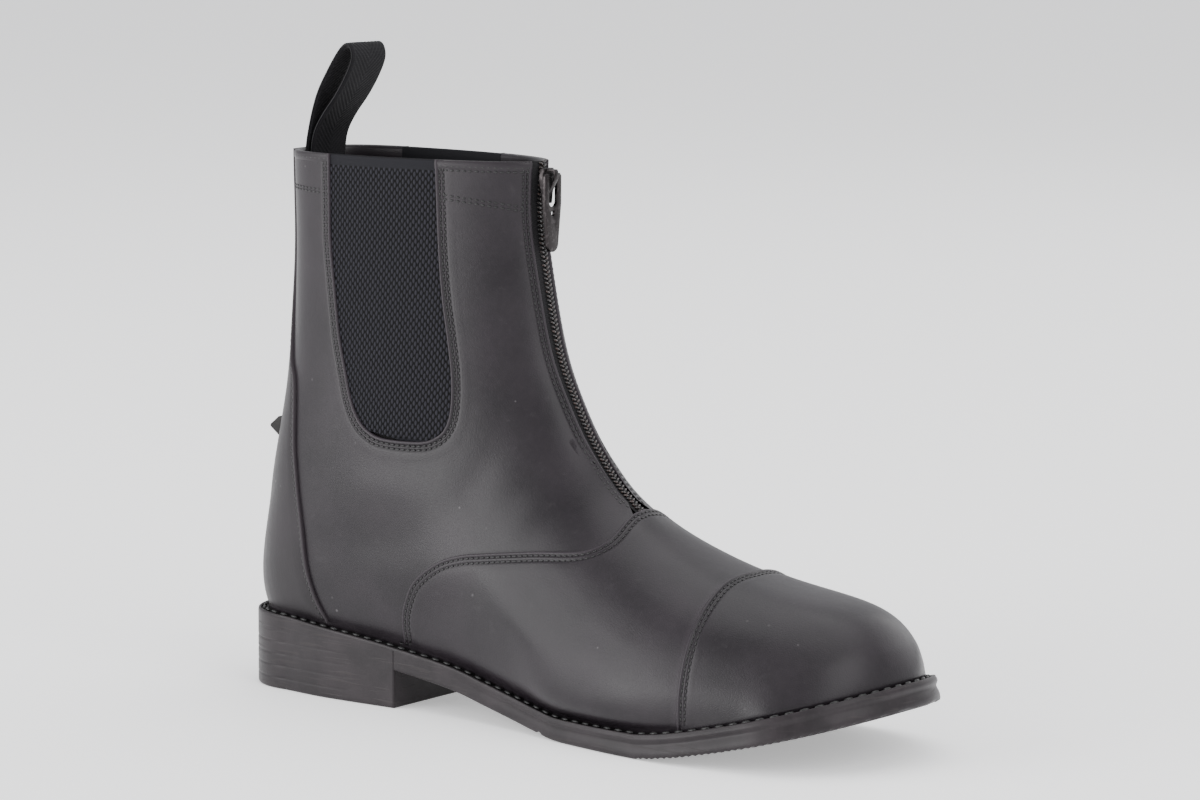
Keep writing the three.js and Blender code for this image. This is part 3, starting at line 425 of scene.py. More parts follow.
def on_side(points):
    """Map numbers of side view points on the lateral half, u from 0 to a half."""
    points = np.asarray(points, float)
    flat = LATERAL[..., [0, 2]].reshape(-1, 2)
    found = []
    for point in points:
        nearest = int(np.argmin(((flat - point) ** 2).sum(-1)))
        found.append([(nearest % A.shape[1]) / TABLE_U, (nearest // A.shape[1]) / TABLE_V])
    uv = np.array(found)
    e = 2e-4
    for _ in range(8):
        u, v = np.clip(uv[:, 0], e, 0.5 - e), np.clip(uv[:, 1], e, 1 - e)
        p = skin(uv[:, 0], uv[:, 1])[:, [0, 2]]
        pu = (skin(u + e, v) - skin(u - e, v))[:, [0, 2]] / (2 * e)
        pv = (skin(u, v + e) - skin(u, v - e))[:, [0, 2]] / (2 * e)
        rest = points - p
        det = pu[:, 0] * pv[:, 1] - pu[:, 1] * pv[:, 0]
        det = np.where(np.abs(det) < 1e-5, np.inf, det)
        du = (rest[:, 0] * pv[:, 1] - rest[:, 1] * pv[:, 0]) / det
        dv = (pu[:, 0] * rest[:, 1] - pu[:, 1] * rest[:, 0]) / det
        uv[:, 0] = np.clip(uv[:, 0] + np.clip(du, -0.02, 0.02), 0, 0.5)
        uv[:, 1] = np.clip(uv[:, 1] + np.clip(dv, -0.02, 0.02), 0, 1)
    return uv


def resample(uv, count, spread=None):
    """The same curve with evenly spaced points, measured on the boot."""
    fine = np.linspace(0, len(uv) - 1, 40 * len(uv))
    uv = np.stack([np.interp(fine, np.arange(len(uv)), uv[:, k]) for k in (0, 1)], -1)
    step = np.linalg.norm(np.diff(skin(uv[:, 0], uv[:, 1]), axis=0), axis=1)
    run = np.concatenate([[0], np.cumsum(step)])
    marks = np.linspace(0, run[-1], count) if spread is None else np.asarray(spread) * run[-1]
    return np.stack([np.interp(marks, run, uv[:, k]) for k in (0, 1)], -1)


def smooth_curve(rows, count=120):
    """Spline through side view points."""
    return smooth_row(np.asarray(rows, float), np.linspace(0, len(rows) - 1, count))


def mirror(uv):
    """The same curve on the medial side."""
    return np.stack([1 - uv[..., 0], uv[..., 1]], -1)


def offset(curve, distance, towards):
    """The curve moved over the surface by a distance, to the side that faces another curve."""
    p = skin(curve[:, 0], curve[:, 1])
    distance = np.broadcast_to(distance, len(curve))[:, None]
    tangent = np.gradient(p, axis=0)
    side = np.cross(skin_normal(curve[:, 0], curve[:, 1]), tangent)
    side /= np.maximum(np.linalg.norm(side, axis=1, keepdims=True), 1e-9)
    if np.sum(side * (skin(towards[:, 0], towards[:, 1]) - p)) < 0:
        side = -side
    moved = settle(curve, p + side * distance, 4)
    half = len(moved) // 2
    if abs(curve[half, 0] - 0.5) > 0.01:
        return moved
    return np.concatenate([cut_at_ridge(moved[:half + 1]), cut_at_ridge(moved[:half - 1:-1])[-2::-1]])


def cut_at_ridge(uv):
    """A half seam that stops where it meets the ridge, with the same number of points."""
    past = np.nonzero((uv[:, 0] - 0.5) * (uv[0, 0] - 0.5) <= 0)[0]
    if not len(past) or past[0] == 0:
        return uv
    k = past[0]
    share = (0.5 - uv[k - 1, 0]) / (uv[k, 0] - uv[k - 1, 0])
    meeting = [0.5, uv[k - 1, 1] + (uv[k, 1] - uv[k - 1, 1]) * share]
    return resample(np.concatenate([uv[:k], [meeting]]), len(uv))


CALM_ROUNDS = 14


def panel(inner, outer, inner_edge, outer_edge, middle, relief=None, reach=1.0):
    """Grid of points between two seams, with edge profiles of (distance, height) in millimetres."""
    rows, heights = [], []
    for distance, height in inner_edge:
        rows.append(offset(inner, distance * MM, outer) if distance else inner)
        heights.append(height)
    tail, tail_heights = [], []
    for distance, height in outer_edge:
        tail.append(offset(outer, distance * MM * reach, inner) if distance else outer)
        tail_heights.append(height)
    start, end = rows[-1], tail[-1]
    for k in range(1, middle + 1):
        share = k / (middle + 1)
        rows.append(start + (end - start) * share)
        heights.append(heights[len(inner_edge) - 1] * (1 - share) + tail_heights[-1] * share)
    rows += tail[::-1]
    heights += tail_heights[::-1]
    uv = np.stack(rows)
    calm = slice(len(inner_edge), len(inner_edge) + middle)
    for _ in range(CALM_ROUNDS):
        near_by = uv[calm.start - 1:calm.stop - 1] + uv[calm.start + 1:calm.stop + 1]
        near_by[:, 1:-1] = (near_by[:, 1:-1] + uv[calm, :-2] + uv[calm, 2:]) / 2
        uv[calm] = near_by / 2
    height = np.repeat(np.array(heights)[:, None] * MM, uv.shape[1], axis=1)
    height[len(inner_edge):] *= np.clip(np.broadcast_to(reach, uv.shape[1]), 0.05, 1)
    if relief is not None:
        height = height + relief(skin(uv[..., 0], uv[..., 1]))
    near = [d for d, _ in inner_edge] + [99] * middle + [d for d, _ in outer_edge][::-1]
    edge = np.repeat(np.clip(1.3 - np.array(near), 0, 1)[:, None], uv.shape[1], axis=1)
    return lifted(uv[..., 0], uv[..., 1], height), skin_normal(uv[..., 0], uv[..., 1]), edge


# %% [markdown]
# ## Where the seams run
# A pattern cutter draws the seams on a taped last, and a table of a few points does the same
# here: heights and lengths as shares of the boot's, joined by a smooth curve and then dropped on
# the surface. The zip's edge keeps an even distance from the front ridge instead.

# %% Seam lines in the side view
WINDOW = [  # height, rear edge, front edge of the elastic's window
    (1.010, -0.019, 0.145), (0.930, -0.017, 0.148), (0.840, -0.014, 0.153), (0.755, -0.004, 0.162),
    (0.670, 0.008, 0.175), (0.610, 0.021, 0.183), (0.560, 0.033, 0.185), (0.526, 0.047, 0.181),
    (0.505, 0.064, 0.169), (0.493, 0.090, 0.145),
]
VAMP_EDGE = [
    (0.118, 0.080), (0.122, 0.165), (0.131, 0.205), (0.148, 0.244), (0.184, 0.281), (0.218, 0.298),
    (0.255, 0.306), (0.326, 0.318), (0.386, 0.324), (0.411, 0.336), (0.420, 0.355), (0.419, 0.387),
]
STAY_EDGE = [  # height, distance ahead of the back line
    (1.000, 0.0062), (0.760, 0.010), (0.625, 0.026), (0.578, 0.044), (0.468, 0.069),
    (0.395, 0.089), (0.307, 0.110), (0.236, 0.124), (0.176, 0.137), (0.100, 0.150),
]
SIDE_SCALE = np.array([SOLE_LENGTH, COLLAR_HEIGHT])
rear = [(x, z) for z, x, _ in WINDOW]
front = [(x, z) for z, _, x in reversed(WINDOW)]
gore_points = smooth_curve(rear + front, 240) * SIDE_SCALE
gore_points[:, 1] = np.minimum(gore_points[:, 1], COLLAR_HEIGHT)
GORE_SEAM = resample(on_side(gore_points), 200)
VAMP_SIDE = resample(on_side(smooth_curve(VAMP_EDGE) * SIDE_SCALE), 90)
VAMP_SIDE[0, 1] = 0
VAMP_SIDE[-1, 0] = 0.5
print("gore seam from", GORE_SEAM[0].round(3), "to", GORE_SEAM[-1].round(3))
print("vamp seam from", VAMP_SIDE[0].round(3), "to", VAMP_SIDE[-1].round(3))


def zip_edge(half_top, half_foot, count=60):
    """Edge of the zip's slot beside the front ridge, from its foot to the collar."""
    foot = float(VAMP_SIDE[-1, 1])
    v = np.linspace(foot, 1, count)
    z = skin(np.full(count, 0.5), v)[:, 2]
    share = (z - z[0]) / (z[-1] - z[0])
    want = half_foot + (half_top - half_foot) * share
    middle = skin(np.full(count, 0.5), v)[:, 1]
    u = bisect(lambda t: middle - skin(t, v)[:, 1] > want, np.full(count, 0.44), np.full(count, 0.5))
    return np.stack([u, v], -1)


ZIP_EDGE = zip_edge(4.8 * MM, 3.2 * MM)
print("zip edge from", skin(*ZIP_EDGE[0]).round(4), "to", skin(*ZIP_EDGE[-1]).round(4))

# %% [markdown]
# ## The toe cap's edge
# The cap ends in a straight cut across the toe, swept slightly forward at its sides. It could be
# drawn in the side view as well, but it crosses the ridge, so it is found as the line where the
# surface meets a slightly bowed upright plane.

# %% Cap edge across the toe
CAP_PLACE = 168 * MM
CAP_SWEEP = 3 * MM
CAP_REACH = BALL_WIDTH / 2 + 1.1 * MM


def cap_edge(count=121):
    """Seam of the toe cap, from the lateral feather line over the ridge to the medial one."""
    column = np.linspace(0, 1, 161)
    found = []
    for half in (0, 1):
        for v in np.linspace(0, 1, 400):
            u = 0.25 + column * 0.25 if half == 0 else 0.5 + column * 0.25
            p = skin(u, np.full(u.shape, v))
            miss = p[:, 0] - CAP_PLACE - CAP_SWEEP * (p[:, 1] / CAP_REACH) ** 2
            change = np.nonzero(np.diff(np.sign(miss)))[0]
            if len(change):
                i = change[0]
                share = miss[i] / (miss[i] - miss[i + 1])
                found.append((half, v, u[i] + (u[i + 1] - u[i]) * share))
    lateral = [(u, v) for half, v, u in found if half == 0 and u < 0.498]
    medial = [(u, v) for half, v, u in found if half == 1 and u > 0.502][::-1]
    return resample(np.array(lateral + medial), count)


CAP_EDGE = cap_edge()
print("cap edge from", skin(*CAP_EDGE[0]).round(4), "to", skin(*CAP_EDGE[-1]).round(4))

# %% [markdown]
# ## Stitches
# Thread lies in a shallow groove and shows as a row of small raised ovals. Each one is a tiny
# sphere with few faces, stretched along its seam. Bump alone would be lighter, but real ovals
# catch the light at their ends as thread does.

# %% Stitch rows
def stitch_rows(name, rows, node, pitch=2.5, length=1.9, width=0.62, height=0.42):
    """One piece with a stitch every pitch along rows of (points, normals)."""
    mesh = bmesh.new()
    total = 0
    for points, normals in rows:
        line = bmesh.new()
        run = np.concatenate([[0], np.cumsum(np.linalg.norm(np.diff(points, axis=0), axis=1))])
        count = int(run[-1] / (pitch * MM))
        for k in range(count):
            mark = (k + 0.5) * run[-1] / count
            place, ahead, up = (
                np.array([np.interp(mark + step, run, values[:, i]) for i in range(3)])
                for step, values in ((0, points), (0.2 * MM, points), (0, normals))
            )
            x_axis = Vector(ahead - place).normalized()
            z_axis = Vector(up).normalized()
            y_axis = z_axis.cross(x_axis).normalized()
            z_axis = x_axis.cross(y_axis)
            size = Vector((length / 2, width / 2, height / 2)) * MM
            turn = Matrix((x_axis * size.x, y_axis * size.y, z_axis * size.z)).transposed().to_4x4()
            turn.translation = Vector(place)
            bmesh.ops.create_uvsphere(line, u_segments=6, v_segments=4, radius=1, matrix=turn)
            total += 1
        part = bpy.data.meshes.new("row")
        line.to_mesh(part)
        line.free()
        mesh.from_mesh(part)
        bpy.data.meshes.remove(part)
    piece = finish_mesh(mesh, name)
    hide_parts(*node.split())
    print(name, total, "stitches")
    return piece


def row_on(curve, distance, towards, height, start=0.0, end=1.0):
    """Points and normals of a stitch row beside a seam."""
    uv = offset(curve, distance * MM, towards)
    count = len(uv)
    uv = uv[int(start * (count - 1)):int(end * (count - 1)) + 1]
    level = height * MM + soft_forms(skin(uv[:, 0], uv[:, 1]))
    return lifted(uv[:, 0], uv[:, 1], level), skin_normal(uv[:, 0], uv[:, 1])


# %% [markdown]
# ## Quarters
# The two quarters are the side panels. Each one runs from the back line round the elastic's
# window to the zip, down to the sole, and forward under the vamp. Its window edge is turned
# and stitched twice. A ribbon between the window and the panel's outside gives rows of faces
# that follow both edges.

# %% Quarters
def soft_forms(p):
    """Broad troughs and ridges where the leather has given a little in wear."""
    x, z = p[..., 0] / MM, p[..., 2] / MM
    total = np.zeros(x.shape)
    for cx, cz, turn, long, wide, deep in FORMS:
        c, s = math.cos(math.radians(turn)), math.sin(math.radians(turn))
        along = (x - cx) * c + (z - cz) * s
        across = -(x - cx) * s + (z - cz) * c
        total += deep * np.exp(-((along / long) ** 2) - (across / wide) ** 2)
    return total * MM


FORMS = [  # x, z, turn in degrees, length, width, height, in millimetres
    (22, 62, 8, 26, 9, -0.8), (24, 82, 5, 24, 8, 0.5), (66, 88, 62, 16, 7, -0.6),
    (88, 78, 40, 18, 6, 0.45), (2, 52, -60, 18, 6, -0.5), (60, 42, 20, 24, 8, -0.6),
]


def outer_of_quarter():
    """Outside edge of the quarter: back line, feather line, vamp seam and zip edge."""
    back = np.stack([np.zeros(80), np.linspace(1, 0, 80)], -1)
    height = skin(back[:, 0], back[:, 1])[:, 2]
    split = int(np.argmin(np.abs(height - 105 * MM)))
    upper_back, lower_back = back[:split + 1], back[split:]
    feather = np.stack([np.linspace(0, VAMP_SIDE[0, 0], 40), np.zeros(40)], -1)
    parts = [
        resample(upper_back, 40), resample(lower_back, 30)[1:], resample(feather, 34)[1:],
        resample(VAMP_SIDE[:-4], 56)[1:], resample(ZIP_EDGE[2:], 44),
    ]
    return parts


def inner_of_quarter(counts):
    """The window seam with as many points on each stretch as the outside has."""
    shares = [0, 0.385, 0.425, 0.475, 0.585, 1]
    spread = [0.0]
    for k, count in enumerate(counts):
        steps = count if k == 0 else count + 1
        spread += list(np.linspace(shares[k], shares[k + 1], steps)[1:])
    return resample(GORE_SEAM, len(spread), np.array(spread))


outer_parts = outer_of_quarter()
QUARTER_OUTER = np.concatenate(outer_parts)
QUARTER_INNER = inner_of_quarter([len(part) for part in outer_parts])
WINDOW_EDGE = [
    (0, -1.3), (0, 0.0), (0.12, 0.34), (0.45, 0.52), (0.85, 0.5), (1.15, 0.2), (1.5, -0.24),
    (1.85, -0.3), (2.2, -0.02), (2.6, 0.1), (3.0, -0.22), (3.35, -0.28), (3.7, 0.0), (4.6, 0.1),
    (7, 0),
]
ZIP_TURN = [
    (0, -1.6), (0, -0.35), (0.2, 0.1), (0.6, 0.24), (1.1, 0.2), (1.5, -0.2), (1.85, -0.3),
    (2.2, -0.02), (2.6, 0.1), (3.0, -0.2), (3.35, -0.28), (3.75, 0.0), (4.6, 0.06), (7, 0),
]
zip_start = len(QUARTER_OUTER) - len(outer_parts[-1])
ZIP_REACH = np.clip((np.arange(len(QUARTER_OUTER)) - zip_start - 1) / 8, 0.004, 1)
for side, turn in (("lateral", lambda uv: uv), ("medial", mirror)):
    grid = panel(
        turn(QUARTER_INNER), turn(QUARTER_OUTER), WINDOW_EDGE, ZIP_TURN, 30, soft_forms, ZIP_REACH)
    sheet_piece("quarter_" + side, [grid], "upper")

# %% [markdown]
# ## Vamp and toe cap
# The vamp covers the instep and laps over both quarters. The toe cap laps over the vamp in
# turn. Each lap stands proud by one thickness of leather, so the seam throws a fine shadow.

# %% Vamp and toe cap
def two_sides(seam, count=91):
    """A whole seam from its lateral half, with one point on the ridge."""
    half = resample(seam, count)
    half[-1, 0] = 0.5
    return np.concatenate([half, mirror(half)[-2::-1]])


VAMP_SEAM = two_sides(VAMP_SIDE)
ridge_point = int(np.argmin(np.abs(CAP_EDGE[:, 0] - 0.5)))
lateral_cap, medial_cap = CAP_EDGE[:ridge_point + 1], CAP_EDGE[:ridge_point - 1:-1]
CAP_SEAM = np.concatenate([resample(lateral_cap, 91), resample(medial_cap, 91)[-2::-1]])
CAP_SEAM[90, 0] = 0.5
LAP_EDGE = [
    (0, -0.6), (0, 0.5), (0.12, 0.85), (0.35, 1.04), (0.8, 1.06), (1.15, 0.84), (1.55, 0.54),
    (1.95, 0.82), (2.5, 0.98), (3.1, 0.82), (3.45, 0.54), (3.85, 0.82), (4.8, 0.96), (7.5, 0.9),
]
grid = panel(VAMP_SEAM, CAP_SEAM, LAP_EDGE, [(0, 0.9), (3, 0.9)], 44, soft_forms)
sheet_piece("vamp", [grid], "upper")

CAP_LAP = [
    (0, 0.3), (0, 1.5), (0.15, 2.1), (0.5, 2.44), (1.0, 2.4), (1.35, 2.06), (1.7, 1.64), (2.05, 1.94),
    (2.5, 2.06), (2.95, 1.9), (3.25, 1.62), (3.6, 1.93), (4.4, 2.04), (6, 2.0),
]


def cap_points():
    """Grid of the toe cap: turned edge behind, then down to the feather line all round the toe."""
    tip = np.array([[0.5, 0.0]] * len(CAP_SEAM))
    rows, heights = [], []
    for distance, height in CAP_LAP:
        rows.append(offset(CAP_SEAM, distance * MM, tip) if distance else CAP_SEAM)
        heights.append(height)
    start = rows[-1]
    around = np.linspace(start[0, 0] + 0.0005, start[-1, 0] - 0.0005, 400)
    toe = resample(np.stack([around, np.zeros(400)], -1), 181)
    for k in range(1, 41):
        rows.append(start + (toe - start) * k / 40)
        heights.append(2.0)
    uv = np.stack(rows)
    height = np.repeat(np.array(heights)[:, None], uv.shape[1], axis=1) * MM
    near = np.array([d for d, _ in CAP_LAP] + [99] * 40)
    edge = np.repeat(np.clip(1.3 - near, 0, 1)[:, None], uv.shape[1], axis=1)
    return lifted(uv[..., 0], uv[..., 1], height), skin_normal(uv[..., 0], uv[..., 1]), edge


sheet_piece("toe_cap_leather", [cap_points()], "toe_cap")

# %% [markdown]
# ## Back stay
# A strip of leather covers the back seam from the collar to the sole, widening over the heel.

# %% Back stay
levels = smooth_row(np.array(STAY_EDGE), np.linspace(0, len(STAY_EDGE) - 1, 120))
back_line = skin(np.zeros(TABLE_V + 1), np.linspace(0, 1, TABLE_V + 1))
stay_z = levels[:, 0] * COLLAR_HEIGHT
stay_x = np.interp(stay_z, back_line[:, 2], back_line[:, 0]) + levels[:, 1] * SOLE_LENGTH
STAY_SEAM = on_side(np.stack([stay_x, stay_z], -1))
STAY_SEAM = resample(np.concatenate([STAY_SEAM, [[STAY_SEAM[-1, 0] + 0.002, 0]]]), 110)
STAY_OTHER = STAY_SEAM * [-1, 1]
STAY_LAP = [
    (0, -0.3), (0, 0.8), (0.12, 1.12), (0.4, 1.26), (0.8, 1.28), (1.3, 1.12), (1.6, 1.04),
    (1.9, 1.14),
]
grid = panel(STAY_SEAM, STAY_OTHER, STAY_LAP, STAY_LAP, 22)
sheet_piece("back_stay_leather", [grid], "back_stay")

# %% [markdown]
# ## Elastic gores
# The side gores let the boot stretch over the heel. The elastic is woven with raised ovals in
# staggered rows and has a plain ribbed border along its top. The ovals are real relief on a
# fine grid, because they show along the edges.

# %% Elastic gores
GORE_DEPTH = -0.75


def weave(across, up):
    """Height of the elastic's woven face, from distances in millimetres."""
    total = np.zeros(across.shape)
    for shift in (0.0, 0.5):
        dx = (across / 2.4 + shift) % 1 - 0.5
        dz = (up / 2.9 + shift) % 1 - 0.5
        oval = np.clip(1 - (np.abs(dx) / 0.30) ** 1.6 - (np.abs(dz) / 0.47) ** 1.8, 0, 1)
        total = np.maximum(total, oval**0.6)
    return 0.55 * total


def gore_grid(side, columns=170, rows=300):
    """Elastic's outer face, its top edge and the upper part of its inner face."""
    turn = (lambda uv: uv) if side == "lateral" else mirror
    p = skin(GORE_SEAM[:, 0], GORE_SEAM[:, 1])
    low = int(np.argmin(p[:, 2]))
    v = np.linspace(GORE_SEAM[low, 1] - 0.004, 1, rows)
    rear_u = np.interp(v, GORE_SEAM[:low + 1, 1][::-1], GORE_SEAM[:low + 1, 0][::-1])
    front_u = np.interp(v, GORE_SEAM[low:, 1], GORE_SEAM[low:, 0])
    share = np.linspace(-0.03, 1.03, columns)
    u = rear_u[:, None] + (front_u - rear_u)[:, None] * share
    uv = turn(np.stack([u, np.repeat(v[:, None], columns, axis=1)], -1))
    q = skin(uv[..., 0], uv[..., 1])
    up = (COLLAR_HEIGHT - q[..., 2]) / MM
    across = q[..., 0] / MM
    border = np.clip((4.5 - up) / 0.6, 0, 1)
    ribs = 0.12 * np.abs(np.sin(up * math.pi / 0.9)) + 0.25
    height = GORE_DEPTH + weave(across, up) * (1 - border) + ribs * border
    outer = lifted(uv[..., 0], uv[..., 1], height * MM)
    normal = skin_normal(uv[..., 0], uv[..., 1])
    fold, fold_normal = [], []
    over_the_top = [
        (0.3, -0.5), (0.05, -0.8), (0.0, -1.3), (0.1, -1.9), (0.5, -2.3), (3, -2.35), (30, -2.35),
    ]
    for drop, level in over_the_top:
        base = outer[-1] * 0 + lifted(uv[-1, :, 0], uv[-1, :, 1], np.full(columns, level * MM))
        base[:, 2] -= drop * MM
        fold.append(base)
        fold_normal.append(normal[-1] * (1 if level > -1 else -1))
    points = np.concatenate([outer[:-1], np.stack(fold)])
    outward = np.concatenate([normal[:-1], np.stack(fold_normal)])
    outward[rows - 1:] = 0
    # The weave's height is kept as a mark for painted light: the elastic's finish paints raised ovals
    # lighter as painted highlight and the hollows near black as painted shade.
    weave_light_mark = (weave(across, up) / 0.55) * (1 - border) + border * 0.5
    mark = np.concatenate([weave_light_mark[:-1], np.full((len(fold), columns), 0.4)])
    return points, outward, mark


for side in ("lateral", "medial"):
    sheet_piece("gore_weave_" + side, [gore_grid(side)], "gore_" + side)

# %% [markdown]
# ## Lining and top line
# The inside is lined with soft leather. Along the collar the outer leather is folded over and
# sewn down, which gives the rounded top line.

# %% Lining and top line
v = np.concatenate([[0.004], np.linspace(0.02, 1, 90)])
u = np.linspace(0, 1, 161)
U, W = np.meshgrid(u, v)
inside = lifted(U, W, np.full(U.shape, -2.15 * MM))
inside[-1, :, 2] -= 1.0 * MM
inside[:, 0] = inside[:, -1] = (inside[:, 0] + inside[:, -1]) / 2
sheet_piece("lining", [(inside, -skin_normal(U, W))], "upper")

TOP_FOLD = [  # drop below the collar, height
    (3.4, -0.03), (3.0, 0.1), (2.4, 0.2), (1.2, 0.24), (0.45, 0.12), (0.1, -0.2), (0.0, -0.8),
    (0.1, -1.5), (0.5, -2.1), (1.6, -2.3), (9.0, -2.35), (9.4, -2.0),
]


def top_fold(start, end, count):
    """The folded collar edge between two places round the boot."""
    u = np.linspace(start, end, count)
    rows = []
    for drop, level in TOP_FOLD:
        ring = lifted(u, np.full(count, 1 - drop * 0.0042), np.full(count, level * MM))
        ring[:, 2] = COLLAR_HEIGHT - drop * MM
        rows.append(ring)
    normal = skin_normal(u, np.full(count, 1.0))
    outward = np.zeros((len(TOP_FOLD), count, 3))
    outward[:4] = normal
    return np.stack(rows), outward


g0, g1, z1 = GORE_SEAM[0, 0], GORE_SEAM[-1, 0], ZIP_EDGE[-1, 0]
strips = [top_fold(-g0, g0, 90), top_fold(g1, z1, 50), top_fold(1 - z1, 1 - g1, 50)]
sheet_piece("top_line", strips, "upper")

# %% [markdown]
# ## Leather under the feather line
# A lasted upper turns in under the foot where it meets the welt. Only the start of that turn can
# be seen, as a dark line in the channel. A ring of four rows drops it in behind the stitches.

# %% Leather drawn in under the feather line
edge = np.linspace(0, 1, 361)
lap = np.where((edge > VAMP_SEAM[0, 0]) & (edge < VAMP_SEAM[-1, 0]), 0.9, 0.0)
lap = np.where((edge > CAP_SEAM[0, 0]) & (edge < CAP_SEAM[-1, 0]), 2.0, lap)
lap = np.where(np.minimum(edge, 1 - edge) < STAY_SEAM[-1, 0], 1.1, lap)
rows = []
for v_low, level, drop in ((0.004, 0.03, 0), (0.0, 0.05, 0), (0.0, 0.0, 1.0), (0.0, -0.9, 3.0)):
    ring = lifted(edge, np.full(edge.shape, v_low), (lap + level) * MM)
    ring[:, 2] -= drop * MM
    rows.append(ring)
drawn = np.stack(rows)
drawn[:, 0] = drawn[:, -1]
sheet_piece("feather_edge", [(drawn, skin_normal(*np.meshgrid(edge, [0.01] * 4)))], "upper")

# %% [markdown]
# ## Rows of stitching
# Every seam is held by two rows about 1.5 mm apart, and two more hold the collar's facing. They
# could be a texture, but then they would lie flat at the edge of the boot. Short rows of real
# stitches that follow the offset seams catch the light as the thread does.

# %% Stitch rows of the upper
COLLAR_SPEED = float(np.linalg.norm(skin(0.4, 1.0) - skin(0.4, 0.95))) / 0.05


def band_row(turn, start, end, drops):
    """Row below the collar between two places round the boot, from drops in millimetres."""
    u = np.linspace(start, end, 60)
    v = 1 - np.linspace(*drops, 60) * MM / COLLAR_SPEED
    uv = turn(np.stack([u, v], -1))
    return lifted(uv[:, 0], uv[:, 1], np.full(60, 0.06 * MM)), skin_normal(uv[:, 0], uv[:, 1])


seams = []
for turn in (lambda uv: uv, mirror):
    inner, outer = turn(QUARTER_INNER), turn(QUARTER_OUTER)
    whole = turn(GORE_SEAM)
    centre = resample(outer, len(whole))
    seams.append(row_on(whole, 1.7, centre, -0.02, 0.0, 1.0))
    seams.append(row_on(whole, 3.2, centre, -0.02, 0.0, 1.0))
    edge_line = turn(ZIP_EDGE)
    behind = np.repeat(turn(GORE_SEAM)[-60:-59], len(edge_line), axis=0)
    seams.append(row_on(edge_line, 1.75, behind, -0.02, 0.03, 0.985))
    seams.append(row_on(edge_line, 3.25, behind, -0.02, 0.05, 0.985))
    for drops in ((2.4, 2.4), (3.9, 3.9)):
        seams.append(band_row(turn, GORE_SEAM[-1, 0] + 0.004, ZIP_EDGE[-1, 0] - 0.002, drops))
    for drops in ((13.4, 16.6), (14.9, 18.1)):
        seams.append(band_row(turn, GORE_SEAM[-1, 0] + 0.012, ZIP_EDGE[-1, 0] - 0.012, drops))
    for drops in ((16.0, 16.0), (17.4, 17.4)):
        seams.append(band_row(turn, 0.012, GORE_SEAM[0, 0] - 0.016, drops))
    seams.append(band_row(turn, 0.012, GORE_SEAM[0, 0] - 0.004, (2.4, 2.4)))
print("rows", len(seams))
stitch_rows("quarter_stitches", seams, "upper", pitch=2.3, length=1.75, width=0.82, height=0.42)
seams = [row_on(VAMP_SEAM, d, CAP_SEAM, 0.8) for d in (1.55, 3.4)]
stitch_rows("vamp_stitches", seams, "upper", pitch=2.3, length=1.7, width=0.82, height=0.42)
toe_mark = np.repeat(np.array([[0.5, 0.0]]), len(CAP_SEAM), axis=0)
seams = [row_on(CAP_SEAM, d, toe_mark, 1.9, 0.02, 0.98) for d in (1.7, 3.2)]
stitch_rows("cap_stitches", seams, "toe_cap", pitch=2.5, length=1.8, width=0.82, height=0.42)
seams = [row_on(STAY_SEAM, 1.6, STAY_OTHER, 1.1), row_on(STAY_OTHER, 1.6, STAY_SEAM, 1.1)]
stitch_rows("stay_stitches", seams, "back_stay", pitch=2.4, length=1.75, width=0.82, height=0.42)

# %% [markdown]
# ## Sole plate
# The sole is one moulded plate. Seen from the side it has a raised lip, a rounded bead under
# it, a hollow groove and a lower band that flares out round the toe. One profile is carried
# round the outline as closed loops, and the loops go on inwards to close the underside.

# %% Sole plate
def outline_loop(inset, count=840):
    """Closed loop of the sole outline moved in by an inset for each place along the sole."""
    turn = np.linspace(0, 2 * np.pi, count + 1)
    middle, half = (HEEL_TIP + TOE_TIP) / 2, (TOE_TIP - HEEL_TIP) / 2
    station = middle - half * np.cos(turn)
    d = inset(station) if callable(inset) else np.full(station.shape, inset)
    x = station - d * (station - middle) / half
    outer, inner = outline_at(x, d)
    y = np.where(turn <= np.pi, -outer, inner)
    return station, x, y


SIDE_PROFILE = [  # share of the thickness, inset at the heel, inset under the forefoot, in millimetres
    (0.0, 0.5, 1.3), (0.02, 0.15, 0.6), (0.06, 0.0, 0.2), (0.14, 0.0, 0.0), (0.28, 0.0, 0.02),
    (0.40, 0.0, 0.20), (0.50, 0.0, 0.50), (0.57, 0.0, 0.66), (0.63, 0.0, 0.58), (0.69, 0.0, 0.22),
    (0.76, 0.0, -0.12), (0.84, 0.0, -0.12), (0.90, 0.02, 0.08), (0.945, 0.06, 0.20), (0.975, 0.2, 0.3),
    (0.99, 0.45, 0.5), (0.99, 0.8, 0.8), (0.96, 1.05, 1.05), (0.90, 1.15, 1.15), (0.80, 1.2, 1.2),
    (0.80, 6.5, 6.5),
]


